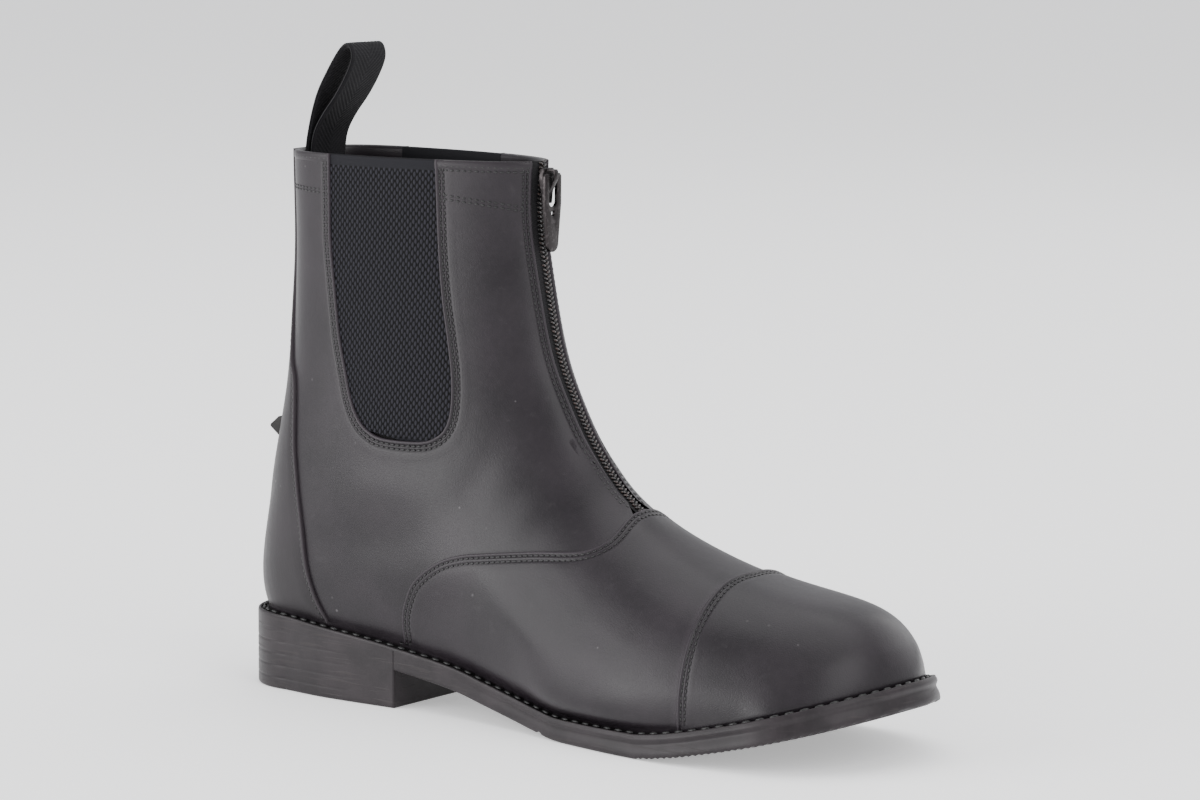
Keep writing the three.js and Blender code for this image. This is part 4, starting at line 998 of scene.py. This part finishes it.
def sole_loops():
    rows = []
    for share in (0.0, 0.25, 0.5, 0.75, 0.92):
        station, x, y = outline_loop(1.3 * MM)
        px = station.mean() + (x - station.mean()) * (0.6 + 0.4 * share)
        outer, inner = outline_at(px, 1.3 * MM)
        edge_y = np.where(np.arange(len(px)) <= 420, -outer, inner)
        middle_y = (inner - outer) / 2
        z = plate_bottom(px)
        rows.append(np.stack([px, middle_y + (edge_y - middle_y) * share, z], -1))
    for share, plain, moulded in SIDE_PROFILE:
        def inset(s):
            forefoot = np.clip((s - 62 * MM) / (40 * MM), 0, 1)
            return (plain + (moulded - plain) * forefoot) * MM + flare_at(s) * min(share, 0.97)
        station, x, y = outline_loop(inset)
        teeth = np.where((station > TREAD_START + 2 * MM) & (share < 0.1), 1.0, 0.0)
        notch = np.clip(np.sin(station / (1.3 * MM) * np.pi) * 1.6, -1, 1)
        z = plate_bottom(x) + share * thickness_at(x)
        z = z + teeth * (notch + 1) * 0.24 * MM
        dent = np.abs(station - 106 * MM) < 1.3 * MM
        z = z + np.where(dent & (share < 0.1), 0.9 * MM, 0)
        rows.append(np.stack([x, y, z], -1))
    loops = np.stack(rows)
    loops[:, -1] = loops[:, 0]
    return loops


loops = sole_loops()
centre = loops[4:].mean((0, 1))
outward = loops - centre
outward[:5] = [0, 0, -1]
outward[-1] = [0, 0, 1]
sheet_piece("sole_plate", [(loops, outward)], "outsole")

# %% [markdown]
# ## Welt
# Inside the lip runs a narrow channel with the welt's stitches in it. The channel's shade is
# painted into the welt's near-black colour. The leather rises behind it.

# %% Welt and its stitches
WELT_PROFILE = [  # inset in millimetres, height above the lip's top
    (1.1, -2.0), (1.25, -0.9), (1.6, -0.55), (2.4, -0.5), (3.6, -0.5), (4.3, -0.5), (5.2, -0.6), (7.5, -0.6),
]
rows = []
for inset, rise in WELT_PROFILE:
    station, x, y = outline_loop(lambda s: inset * MM + flare_at(s) * 1.1, 480)
    rows.append(np.stack([x, y, lip_top(x) + rise * MM], -1))
welt = np.stack(rows)
welt[:, -1] = welt[:, 0]
sheet_piece("welt_strip", [(welt, np.broadcast_to([0, 0, 1.0], welt.shape))], "welt")
station, x, y = outline_loop(lambda s: 2.35 * MM + flare_at(s) * 1.1, 960)
line = np.stack([x, y, lip_top(x) - 0.1 * MM], -1)
heading = np.gradient(line, axis=0)
lean = np.stack([heading[:, 1], -heading[:, 0], np.zeros(len(line))], -1)
lean /= np.linalg.norm(lean, axis=1, keepdims=True)
up = lean * 0.5 + [0, 0, 1.0]
stitch_rows("welt_stitches", [(line, up)], "welt", 5.4, 4.1, 1.5, 1.25)

# %% [markdown]
# ## Heel block
# The heel is a stack of lifts under the plate, cut off straight in front. Its side shows three
# faint lines at the back that fade towards the breast.

# %% Heel block
HEEL_REACH = BREAST - 0.3 * MM


def heel_loop(inset, height, count=260):
    """Closed loop round the heel: curved side, then straight across the breast."""
    s = np.linspace(-1, 1, count)
    reach = HEEL_REACH - inset * 0.6
    x = (HEEL_TIP + inset) + (reach - HEEL_TIP - inset) * np.abs(s) ** 1.7
    outer, inner = outline_at(x, inset)
    y = np.where(s < 0, -outer, inner)
    x = np.concatenate([x, np.full(59, reach)])
    y = np.concatenate([y, np.linspace(y[-1], y[0], 60)[1:]])
    top = lip_top(x) - 1.2 * MM
    return np.stack([x, y, np.minimum(height, top)], -1)


LIFT_LINES = (4.4, 9.2, 13.8, 18.4, 23.0)
levels = [(0.0, 12.0), (0.0, 3.0), (0.0, 1.0), (0.15, 0.4), (0.5, 0.1), (1.0, 0.0)]
levels += [(z, -0.02) for z in np.arange(1.6, 28.2, 0.4)]
rows = []
for z, inset in levels:
    groove = sum(math.exp(-(((z - line) / 0.3) ** 2)) for line in LIFT_LINES)
    ring = heel_loop(inset * MM, z * MM)
    deeper = heel_loop((inset + 1.0) * MM, z * MM)
    fade = np.clip(1 - (ring[:, 0] - HEEL_TIP) / (60 * MM), 0, 1) ** 0.7
    rows.append(ring + (deeper - ring) * (groove * 0.38 * fade)[:, None])
middle_x = (HEEL_TIP + HEEL_REACH) / 2
floor_centre = (rows[0] - [middle_x, 0, 0]) * [0.02, 0.02, 1] + [middle_x, 0, 0]
block = np.stack([floor_centre] + rows)
outward = block - block.mean((0, 1))
outward[:4] = [0, 0, -1]
sheet_piece("heel_block", [(block, outward)], "heel")

# %% [markdown]
# ## Zip
# A coil zip is two spirals of nylon wire sewn on a tape. From a step away it reads as a braid
# of slanted teeth. Each tooth is a stretched low sphere, and the tape is a strip of the same
# surface map set a little deeper.

# %% Zip tape and coil
FOOT_V = float(ZIP_EDGE[0, 1])
zip_v = np.linspace(FOOT_V - 0.006, 1, 220)
edge_u = np.interp(zip_v, ZIP_EDGE[:, 1], ZIP_EDGE[:, 0])
share = np.linspace(-0.97, 0.97, 15)
tape_u = 0.5 + (0.5 - edge_u)[:, None] * share
tape_v = np.repeat(zip_v[:, None], len(share), axis=1)
TAPE_LEVEL = -0.75
tape = lifted(tape_u, tape_v, np.full(tape_u.shape, TAPE_LEVEL * MM))
sheet_piece("zip_tape_cloth", [(tape, skin_normal(tape_u, tape_v))], "zip_tape")


def spine(level):
    """Middle line of the zip at a height, with its directions."""
    u, v = np.full(zip_v.shape, 0.5), zip_v
    points = lifted(u, v, np.full(v.shape, level * MM))
    normals = skin_normal(u, v)
    return points, normals


def frames_along(points, normals, pitch, first=0.0, last=None):
    """Places, tangents and normals at an even pitch along a line."""
    run = np.concatenate([[0], np.cumsum(np.linalg.norm(np.diff(points, axis=0), axis=1))])
    marks = np.arange(first, run[-1] if last is None else last, pitch * MM)
    read = lambda values, at: np.stack([np.interp(at, run, values[:, i]) for i in range(3)], -1)
    place = read(points, marks)
    ahead = read(points, marks + 0.3 * MM) - read(points, marks - 0.3 * MM)
    return place, ahead / np.linalg.norm(ahead, axis=1, keepdims=True), read(normals, marks)


def coil_teeth():
    """The coil's teeth as one piece."""
    mesh = bmesh.new()
    points, normals = spine(-0.28)
    place, ahead, up = frames_along(points, normals, 0.82, 1.2 * MM)
    batch = bmesh.new()
    for k, (p, t, n) in enumerate(zip(place, ahead, up)):
        hand = 1 if k % 2 else -1
        t, n = Vector(t), Vector(n)
        across = n.cross(t).normalized()
        axis = (across * 0.92 + t * 0.38 * hand).normalized()
        other = n.cross(axis).normalized()
        top = axis.cross(other)
        turn = Matrix((axis * 1.35 * MM, other * 0.46 * MM, top * 0.5 * MM)).transposed().to_4x4()
        turn.translation = Vector(p) + across * 0.98 * MM * hand
        bmesh.ops.create_uvsphere(batch, u_segments=8, v_segments=5, radius=1, matrix=turn)
        if k % 24 == 23 or k == len(place) - 1:
            part = bpy.data.meshes.new("teeth")
            batch.to_mesh(part)
            mesh.from_mesh(part)
            bpy.data.meshes.remove(part)
            batch.clear()
    batch.free()
    piece = finish_mesh(mesh, "zip_coil_teeth")
    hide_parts("zip_coil")
    print("teeth", len(place))
    return piece


coil_teeth()

# %% [markdown]
# ## Slider, pull and spur rest
# These small hard parts have the right shape in the CAD model. A merged copy of each gets a
# rounded edge, because a cast edge always shows a thin line of light.

# %% Rounded copies of the small hard parts
def rounded_copy(node, name, body, width, steps=3, angle=28):
    """Merged copy of a CAD node with bevelled edges."""
    mesh = bmesh.new()
    mesh.from_mesh(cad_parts[node].data)
    bmesh.ops.remove_doubles(mesh, verts=mesh.verts, dist=0.005 * MM)
    bmesh.ops.dissolve_limit(
        mesh, angle_limit=math.radians(2), verts=mesh.verts, edges=mesh.edges)
    sharp = [edge for edge in mesh.edges
             if len(edge.link_faces) == 2 and edge.calc_face_angle() > math.radians(angle)]
    bmesh.ops.bevel(
        mesh, geom=sharp, offset=width * MM, offset_type="OFFSET", affect="EDGES",
        segments=steps, profile=0.5, material=-1, clamp_overlap=True)
    bmesh.ops.recalc_face_normals(mesh, faces=mesh.faces)
    piece = finish_mesh(mesh, name, body)
    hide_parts(node)
    print(name, len(piece.data.polygons), "faces")
    return piece


rounded_copy("zip_pull", "pull_tab", "zip_pull_tab", 0.32)
rounded_copy("zip_slider", "slider_body", "boot", 0.28)
rounded_copy("spur_rest", "spur_lug", "boot", 0.6)
rounded_copy("insole", "insole_sheet", "boot", 0.5)

# %% [markdown]
# ## Pull loop
# A strip of flat webbing, folded once and sewn inside the back of the collar, pulls the boot
# on. Its diagonal ribs and firmer edges are woven in, so they are modelled on the strip
# itself.

# %% Webbing loop
LOOP_PATH = [  # x and z in shares of the loop's height above the collar
    (0.04, 0.05), (0.15, 0.47), (0.31, 0.76), (0.46, 0.96), (0.55, 0.99), (0.59, 0.91),
    (0.57, 0.81), (0.49, 0.66), (0.38, 0.50), (0.24, 0.33), (0.14, 0.17), (0.10, 0.0),
]
LOOP_LOW, LOOP_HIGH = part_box("pull_loop")
LOOP_HEIGHT = 40 * MM
LOOP_THICKNESS = 1.8 * MM
loop_first = LOOP_LOW.x + LOOP_THICKNESS / 2
loop_second = loop_first + LOOP_THICKNESS + GAP


def webbing_loop():
    """Grid round the strip's cross section, carried along the loop's path."""
    path = [(loop_first, LOOP_LOW.z), (loop_first, LOOP_LOW.z + 10 * MM)]
    path += [(loop_first + (x - LOOP_PATH[0][0]) * LOOP_HEIGHT, COLLAR_HEIGHT + z * LOOP_HEIGHT)
             for x, z in LOOP_PATH]
    path += [(loop_second, LOOP_LOW.z + 10 * MM), (loop_second, LOOP_LOW.z)]
    fine = smooth_curve(path, 1200)
    run = np.concatenate([[0], np.cumsum(np.linalg.norm(np.diff(fine, axis=0), axis=1))])
    marks = np.linspace(0, run[-1], 330)
    line = np.stack([np.interp(marks, run, fine[:, k]) for k in (0, 1)], -1)
    tangent = np.gradient(line, axis=0)
    tangent /= np.linalg.norm(tangent, axis=1, keepdims=True)
    normal = np.stack([-tangent[:, 1], tangent[:, 0]], -1)
    half, thick = (LOOP_HIGH.y - LOOP_LOW.y) / 2, LOOP_THICKNESS / 2
    across = np.linspace(-1, 1, 53)
    rows = []
    for face in (1, -1):
        for y in across * face:
            edge = 1 - np.abs(y)
            body = thick * min(1, math.sqrt(max(edge, 0) * 14)) * 0.86
            rib = np.abs(np.sin((marks / MM * 0.9 + abs(y) * 9.0) * math.pi / 1.8))
            selvedge = 1.0 if edge < 0.13 else 0.0
            relief = (0.26 * rib * (1 - selvedge) + 0.2 * selvedge) * min(1, edge * 30) * MM
            out = line + normal * (face * (body + relief - 0.12 * MM))[:, None]
            rows.append(np.stack([out[:, 0], np.full(len(marks), y * half), out[:, 1]], -1))
    rows.append(rows[0])
    grid = np.stack(rows)
    middle = np.stack([line[:, 0], np.zeros(len(marks)), line[:, 1]], -1)
    outward = grid - middle
    outward[:, :, 1] = 0
    return grid, outward


sheet_piece("webbing_loop", [webbing_loop()], "pull_loop")

# %% [markdown]
# ## Writing finishes as sums
# A finish is a chain of nodes, but it is easier to read as arithmetic. A small class wraps one
# socket, and sums on it add Math nodes. Another method makes every other kind of node.

# %% Shader sockets as values
class Value:
    """One output socket that can be used in sums."""

    def __init__(self, finish, socket):
        self.finish, self.socket = finish, socket

    def math(self, operation, other=0.0, swap=False, clamp=False):
        pair = (other, self) if swap else (self, other)
        settings = {"operation": operation, "use_clamp": clamp}
        return self.finish.node("ShaderNodeMath", settings, {0: pair[0], 1: pair[1]})

    def __add__(self, other): return self.math("ADD", other)
    def __radd__(self, other): return self.math("ADD", other, True)
    def __sub__(self, other): return self.math("SUBTRACT", other)
    def __rsub__(self, other): return self.math("SUBTRACT", other, True)
    def __mul__(self, other): return self.math("MULTIPLY", other)
    def __rmul__(self, other): return self.math("MULTIPLY", other, True)
    def __truediv__(self, other): return self.math("DIVIDE", other)
    def __pow__(self, other): return self.math("POWER", other)
    def clamped(self): return self.math("ADD", 0.0, clamp=True)
    def above(self, edge, soft):
        return ((self - edge) * (1 / soft)).clamped()


class Finish:
    """A material with its main shader and helpers for nodes."""

    def __init__(self, name, **uniform):
        self.material = bpy.data.materials.new(name)
        self.material.use_nodes = True
        self.tree = self.material.node_tree
        self.shader = self.tree.nodes["Principled BSDF"]
        for socket, value in uniform.items():
            self.shader.inputs[socket.replace("_", " ")].default_value = value
        self.place = self.node("ShaderNodeTexCoord", {}, {}, "Object")

    def node(self, kind, settings=None, sockets=None, output=0):
        made = self.tree.nodes.new(kind)
        for key, value in (settings or {}).items():
            if key == "stops":
                ramp = made.color_ramp
                while len(ramp.elements) < len(value):
                    ramp.elements.new(0.5)
                for element, (position, colour) in zip(ramp.elements, value):
                    element.position, element.color = position, (*colour, 1)
            else:
                setattr(made, key, value)
        for key, value in (sockets or {}).items():
            if isinstance(value, Value):
                self.tree.links.new(value.socket, made.inputs[key])
            else:
                made.inputs[key].default_value = value
        return Value(self, made.outputs[output])

    def noise(self, size, detail=3.0, rough=0.55, stretch=(1, 1, 1), warp=0.0):
        """Noise whose blobs are about a size in millimetres."""
        scaled = self.stretched(stretch)
        sockets = {"Vector": scaled, "Scale": 1 / (size * MM), "Detail": detail,
                   "Roughness": rough, "Distortion": warp}
        return self.node("ShaderNodeTexNoise", {}, sockets, "Fac")

    def cells(self, size, feature="F1", output="Distance", stretch=(1, 1, 1)):
        """Distance to the points of an irregular net with cells of a size in millimetres."""
        scaled = self.stretched(stretch)
        return self.node("ShaderNodeTexVoronoi", {"feature": feature},
                         {"Vector": scaled, "Scale": 1 / (size * MM)}, output)

    def stretched(self, stretch):
        if stretch == (1, 1, 1):
            return self.place
        return self.node("ShaderNodeMapping", {}, {"Vector": self.place, "Scale": stretch}, "Vector")

    def axis(self, name):
        return self.node("ShaderNodeSeparateXYZ", {}, {"Vector": self.place}, name)

    def mark(self, name):
        return self.node("ShaderNodeAttribute", {"attribute_name": name}, {}, "Fac")

    def mix(self, share, first, second):
        """Colour between two colours."""
        sockets = {"Factor": share}
        made = self.node("ShaderNodeMix", {"data_type": "RGBA"}, sockets, 2)
        node = made.socket.node
        for key, value in ((6, first), (7, second)):
            if isinstance(value, Value):
                self.tree.links.new(value.socket, node.inputs[key])
            else:
                node.inputs[key].default_value = (*value, 1)
        return made

    def bump(self, height, distance, strength=1.0, under=None):
        sockets = {"Height": height, "Distance": distance * MM, "Strength": strength}
        if under is not None:
            sockets["Normal"] = under
        return self.node("ShaderNodeBump", {}, sockets, "Normal")

    def drive(self, **links):
        for socket, value in links.items():
            self.tree.links.new(value.socket, self.shader.inputs[socket.replace("_", " ")])
        return self.material


def dress(finish, *names):
    """Give a finish to pieces by name."""
    for name in names:
        data = bpy.data.objects[name].data
        data.materials.clear()
        data.materials.append(finish)


# %% [markdown]
# ## Leather
# The boot is smooth cattle hide with a satin finish. Close up it has very fine pores and
# wrinkles under half a millimetre across, a broad cloudiness where polish lies thicker, and a
# lighter line along turned edges where the finish has worn. Three scales of noise give these.

# %% Leather finish
def leather(name, dark, light, shine=0.36, coat=0.25, grain=1.0):
    hide = Finish(name, Specular_IOR_Level=0.24, Coat_Roughness=0.30, Coat_IOR=1.4)
    cloud = hide.noise(34, 2.0)
    fine = hide.noise(2.6, 4.0, 0.6)
    pores = hide.cells(0.62)
    wrinkle = hide.noise(0.85, 5.0, 0.62, warp=0.6)
    scuff = hide.noise(5.5, 6.0, 0.7).above(0.60, 0.09)
    speck = (1 - hide.cells(7.5).above(0.055, 0.03)) * hide.noise(21, 1.0).above(0.55, 0.1)
    edge = hide.mark("edge")
    tone = (cloud.above(0.36, 0.3) * 0.65 + fine.above(0.42, 0.3) * 0.2).clamped()
    base = hide.mix(tone, dark, light)
    base = hide.mix((edge * 0.5).clamped(), base, tuple(c * 1.9 for c in light))
    base = hide.mix((scuff * 0.03 + speck * 0.4).clamped(), base, (0.16, 0.15, 0.155))
    rough = (shine + (cloud - 0.5) * 0.14 + (fine - 0.5) * 0.12 + scuff * 0.03 + edge * 0.06).clamped()
    height = wrinkle * 0.6 + pores.above(0.1, 0.5) * 0.4
    normal = hide.bump(height, 0.05 * grain)
    normal = hide.bump(hide.noise(11, 3.0, 0.5), 0.35, 0.35, normal)
    hide.shader.inputs["Coat Weight"].default_value = coat
    return hide.drive(Base_Color=base, Roughness=rough, Normal=normal)


hide = leather("black_hide", (0.0100, 0.0080, 0.0100), (0.0205, 0.0162, 0.0198), 0.38, 0.10)
stay_hide = leather("stay_hide", (0.0098, 0.0078, 0.0094), (0.0195, 0.0155, 0.0185), 0.42, 0.05)
dress(hide, "quarter_lateral", "quarter_medial", "vamp", "toe_cap_leather", "top_line",
      "feather_edge")
dress(stay_hide, "back_stay_leather")
print("leather on the panels, the top line, the feather edge and the back stay")

# %% [markdown]
# ## Thread, elastic, webbing and lining
# Thread is waxed and slightly glossier than the leather round it. Elastic is matt nylon whose
# colour carries painted light: its raised ovals are painted lighter as painted highlight and the
# hollows between them near black as painted shade. Webbing and tape show their weave as fine diagonal lines.

# %% Cloth and thread finishes
def thread(name, colour, shine):
    waxed = Finish(name, Roughness=shine)
    strand = waxed.noise(0.35, 2.0, stretch=(1, 1, 1))
    base = waxed.mix(strand.above(0.4, 0.25), tuple(c * 0.6 for c in colour), colour)
    return waxed.drive(Base_Color=base, Normal=waxed.bump(strand, 0.06))


def cloth(name, dark, light, pitch, shine=0.78, sheen=0.03):
    woven = Finish(name, Specular_IOR_Level=0.2, Sheen_Weight=sheen, Sheen_Roughness=0.5)
    fibre = woven.noise(0.4, 3.0, 0.6)
    cloud = woven.noise(9, 2.0)
    turn = (woven.axis("X") + woven.axis("Z")) * (2 * math.pi / (pitch * MM))
    lines = turn.math("SINE") * 0.5 + 0.5
    share = (fibre.above(0.35, 0.35) * 0.55 + lines * 0.25 + cloud.above(0.4, 0.3) * 0.2).clamped()
    base = woven.mix(share, dark, light)
    rough = (shine + (fibre - 0.5) * 0.2).clamped()
    normal = woven.bump(fibre * 0.5 + lines * 0.5, 0.07)
    return woven.drive(Base_Color=base, Roughness=rough, Normal=normal)


dress(thread("dark_thread", (0.0035, 0.003, 0.0035), 0.45),
      "quarter_stitches", "vamp_stitches", "cap_stitches", "stay_stitches")
dress(thread("welt_thread", (0.0035, 0.0033, 0.0035), 0.44), "welt_stitches")
elastic = Finish("gore_elastic", Specular_IOR_Level=0.16)
# Painted light: the weave's height mark makes the raised ovals lighter as painted highlight and the hollows
# near black as painted shade; the fibre noise adds random tone.
weave_light_mark = elastic.mark("edge")
fibre = elastic.noise(0.3, 3.0, 0.6)
share = (weave_light_mark.above(0.28, 0.5) + (fibre - 0.5) * 0.4).clamped()
colour = elastic.mix(share, (0.0005, 0.0005, 0.0008), (0.0195, 0.0190, 0.0245))
dress(elastic.drive(Base_Color=colour, Roughness=(0.72 + (fibre - 0.5) * 0.25).clamped(),
                    Normal=elastic.bump(fibre, 0.06)),
      "gore_weave_lateral", "gore_weave_medial")
dress(cloth("loop_webbing", (0.0022, 0.0021, 0.0028), (0.013, 0.012, 0.0145), 0.9), "webbing_loop")
dress(cloth("zip_cloth", (0.006, 0.006, 0.007), (0.018, 0.017, 0.018), 0.7), "zip_tape_cloth")
dress(cloth("soft_lining", (0.004, 0.0037, 0.004), (0.012, 0.0105, 0.011), 1.3, 0.8),
      "lining", "insole_sheet")

# %% [markdown]
# ## Coil, gunmetal and rubber
# The coil is brown-black nylon with reddish glints. The slider and pull are cast zinc with a
# dark plated finish, worn light on their edges. The sole is black rubber with a brown cast,
# matt on the sides with a light bloom and fine scratches.

# %% Coil, metal and rubber finishes
nylon = Finish("coil_nylon", Coat_Weight=0.2)
shade = nylon.noise(1.1, 2.0)
colour = nylon.mix(shade.above(0.45, 0.2), (0.004, 0.003, 0.003), (0.036, 0.018, 0.014))
dress(nylon.drive(Base_Color=colour, Roughness=(0.34 + (shade - 0.5) * 0.2).clamped()), "zip_coil_teeth")

metal = Finish("gunmetal_plate")
wear = metal.noise(1.6, 5.0, 0.65)
brush = metal.noise(0.5, 3.0, 0.5, stretch=(1, 1, 0.12))
colour = metal.mix(wear.above(0.5, 0.25), (0.026, 0.023, 0.0235), (0.080, 0.072, 0.074))
dress(metal.drive(Base_Color=colour, Metallic=(wear.above(0.2, 0.2) * 0.1 + 0.85).clamped(),
                  Roughness=(0.33 + (wear - 0.5) * 0.25 + (brush - 0.5) * 0.15).clamped(),
                  Normal=metal.bump(wear * 0.5 + brush * 0.5, 0.04)),
      "pull_tab", "slider_body")


def rubber(name, dark, light, shine):
    moulded = Finish(name, Specular_IOR_Level=0.26)
    cloud = moulded.noise(14, 3.0)
    dust = moulded.noise(1.2, 5.0, 0.7)
    scratch = moulded.noise(1.1, 2.0, 0.5, stretch=(0.06, 0.06, 1)).above(0.60, 0.06)
    bloom = (cloud.above(0.42, 0.25) * 0.5 + dust.above(0.5, 0.25) * 0.3).clamped()
    base = moulded.mix(bloom, dark, light)
    base = moulded.mix((scratch * 0.10).clamped(), base, (0.085, 0.075, 0.07))
    rough = (shine + (dust - 0.5) * 0.18 + scratch * 0.1).clamped()
    return moulded.drive(Base_Color=base, Roughness=rough,
                         Normal=moulded.bump(dust * 0.6 + scratch * 0.4, 0.06))


dress(rubber("sole_rubber", (0.0130, 0.0102, 0.0118), (0.0290, 0.0228, 0.0258), 0.42),
      "sole_plate", "heel_block")
dress(rubber("lug_rubber", (0.006, 0.005, 0.005), (0.014, 0.012, 0.012), 0.5), "spur_lug")
# The welt is black leather painted far darker than the upper: its near-black colour is painted shade of the
# recessed channel.
dress(leather("welt_hide_painted_shade", (0.0012, 0.001, 0.001), (0.003, 0.0026, 0.0026), 0.6, 0.0), "welt_strip")

# %% [markdown]
# ## Floor and light
# The boot stands on a plain pale floor under large soft lights, as in a catalogue picture. The
# camera looks from ahead and to the boot's right at a low angle, through a long lens.

# %% Floor and lights
def stage_floor():
    """Wide flat floor under the boot."""
    mesh = bmesh.new()
    bmesh.ops.create_grid(mesh, x_segments=1, y_segments=1, size=30)
    data = bpy.data.meshes.new("floor")
    mesh.to_mesh(data)
    mesh.free()
    floor = bpy.data.objects.new("floor", data)
    bpy.context.scene.collection.objects.link(floor)
    return floor


floor = stage_floor()
paper = Finish("paper", Roughness=0.7, Specular_IOR_Level=0.2, Emission_Strength=0.45)
pale = paper.mix(paper.noise(600, 2.0), (0.925, 0.925, 0.93), (0.94, 0.94, 0.94))
dress(paper.drive(Base_Color=pale), "floor")

AIM = Vector((131.04, 0, 127.98)) * MM


def soft_light(name, place, size, power, tint=(1, 1, 1), target=AIM):
    data = bpy.data.lights.new(name, "AREA")
    data.shape, data.size, data.size_y = "RECTANGLE", size[0], size[1]
    data.energy, data.color = power, tint
    lamp = bpy.data.objects.new(name, data)
    bpy.context.scene.collection.objects.link(lamp)
    lamp.location = place
    lamp.rotation_euler = (target - Vector(place)).to_track_quat("-Z", "Y").to_euler()
    return lamp


soft_light("key", (-1.5, -2.0, 1.1), (2.2, 1.6), 46)
soft_light("low", (-0.9, -2.3, 0.3), (1.6, 0.5), 20)
soft_light("fill", (2.2, -0.6, 1.4), (1.6, 1.8), 27)
soft_light("top", (0.2, 0.3, 2.4), (2.6, 2.2), 33)
soft_light("rim", (0.6, 2.2, 1.0), (2.0, 1.2), 12)
world = bpy.data.worlds.new("studio")
bpy.context.scene.world = world
world.use_nodes = True
world.node_tree.nodes["Background"].inputs[0].default_value = (0.97, 0.975, 1.0, 1)
world.node_tree.nodes["Background"].inputs[1].default_value = 0.95

# %% [markdown]
# ## Camera
# The lens, the distance and the slight roll were fitted to lines of the boot whose sizes are
# known: the sole's ends, the collar and the heel. The boot was beside another in the picture, so
# the camera is turned a little to put this one in the middle. Turning keeps the view of it.

# %% Camera
AZIMUTH, ELEVATION, ROLL = (math.radians(angle) for angle in (35.141, 7.477, 0.437))
DISTANCE = 1595.2 * MM
FOCAL = 4403.15 / 1200
OFF_CENTRE = (63 / 4403, -19 / 4403)
lens = bpy.data.cameras.new("camera")
lens.sensor_width = 36
lens.lens = FOCAL * 36
lens.clip_start = 0.05
camera = bpy.data.objects.new("camera", lens)
bpy.context.scene.collection.objects.link(camera)
bpy.context.scene.camera = camera
reach = Vector((math.sin(AZIMUTH) * math.cos(ELEVATION), -math.cos(AZIMUTH) * math.cos(ELEVATION),
                math.sin(ELEVATION)))
camera.location = AIM + reach * DISTANCE
look = (AIM - camera.location).to_track_quat("-Z", "Y").to_matrix().to_4x4()
look = look @ Matrix.Rotation(ROLL, 4, "Z")
centring = Matrix.Rotation(OFF_CENTRE[0], 4, "Y") @ Matrix.Rotation(OFF_CENTRE[1], 4, "X")
camera.rotation_euler = (look @ centring).to_euler()
print("camera", [round(c, 3) for c in camera.location], "lens", round(lens.lens, 1), "mm")
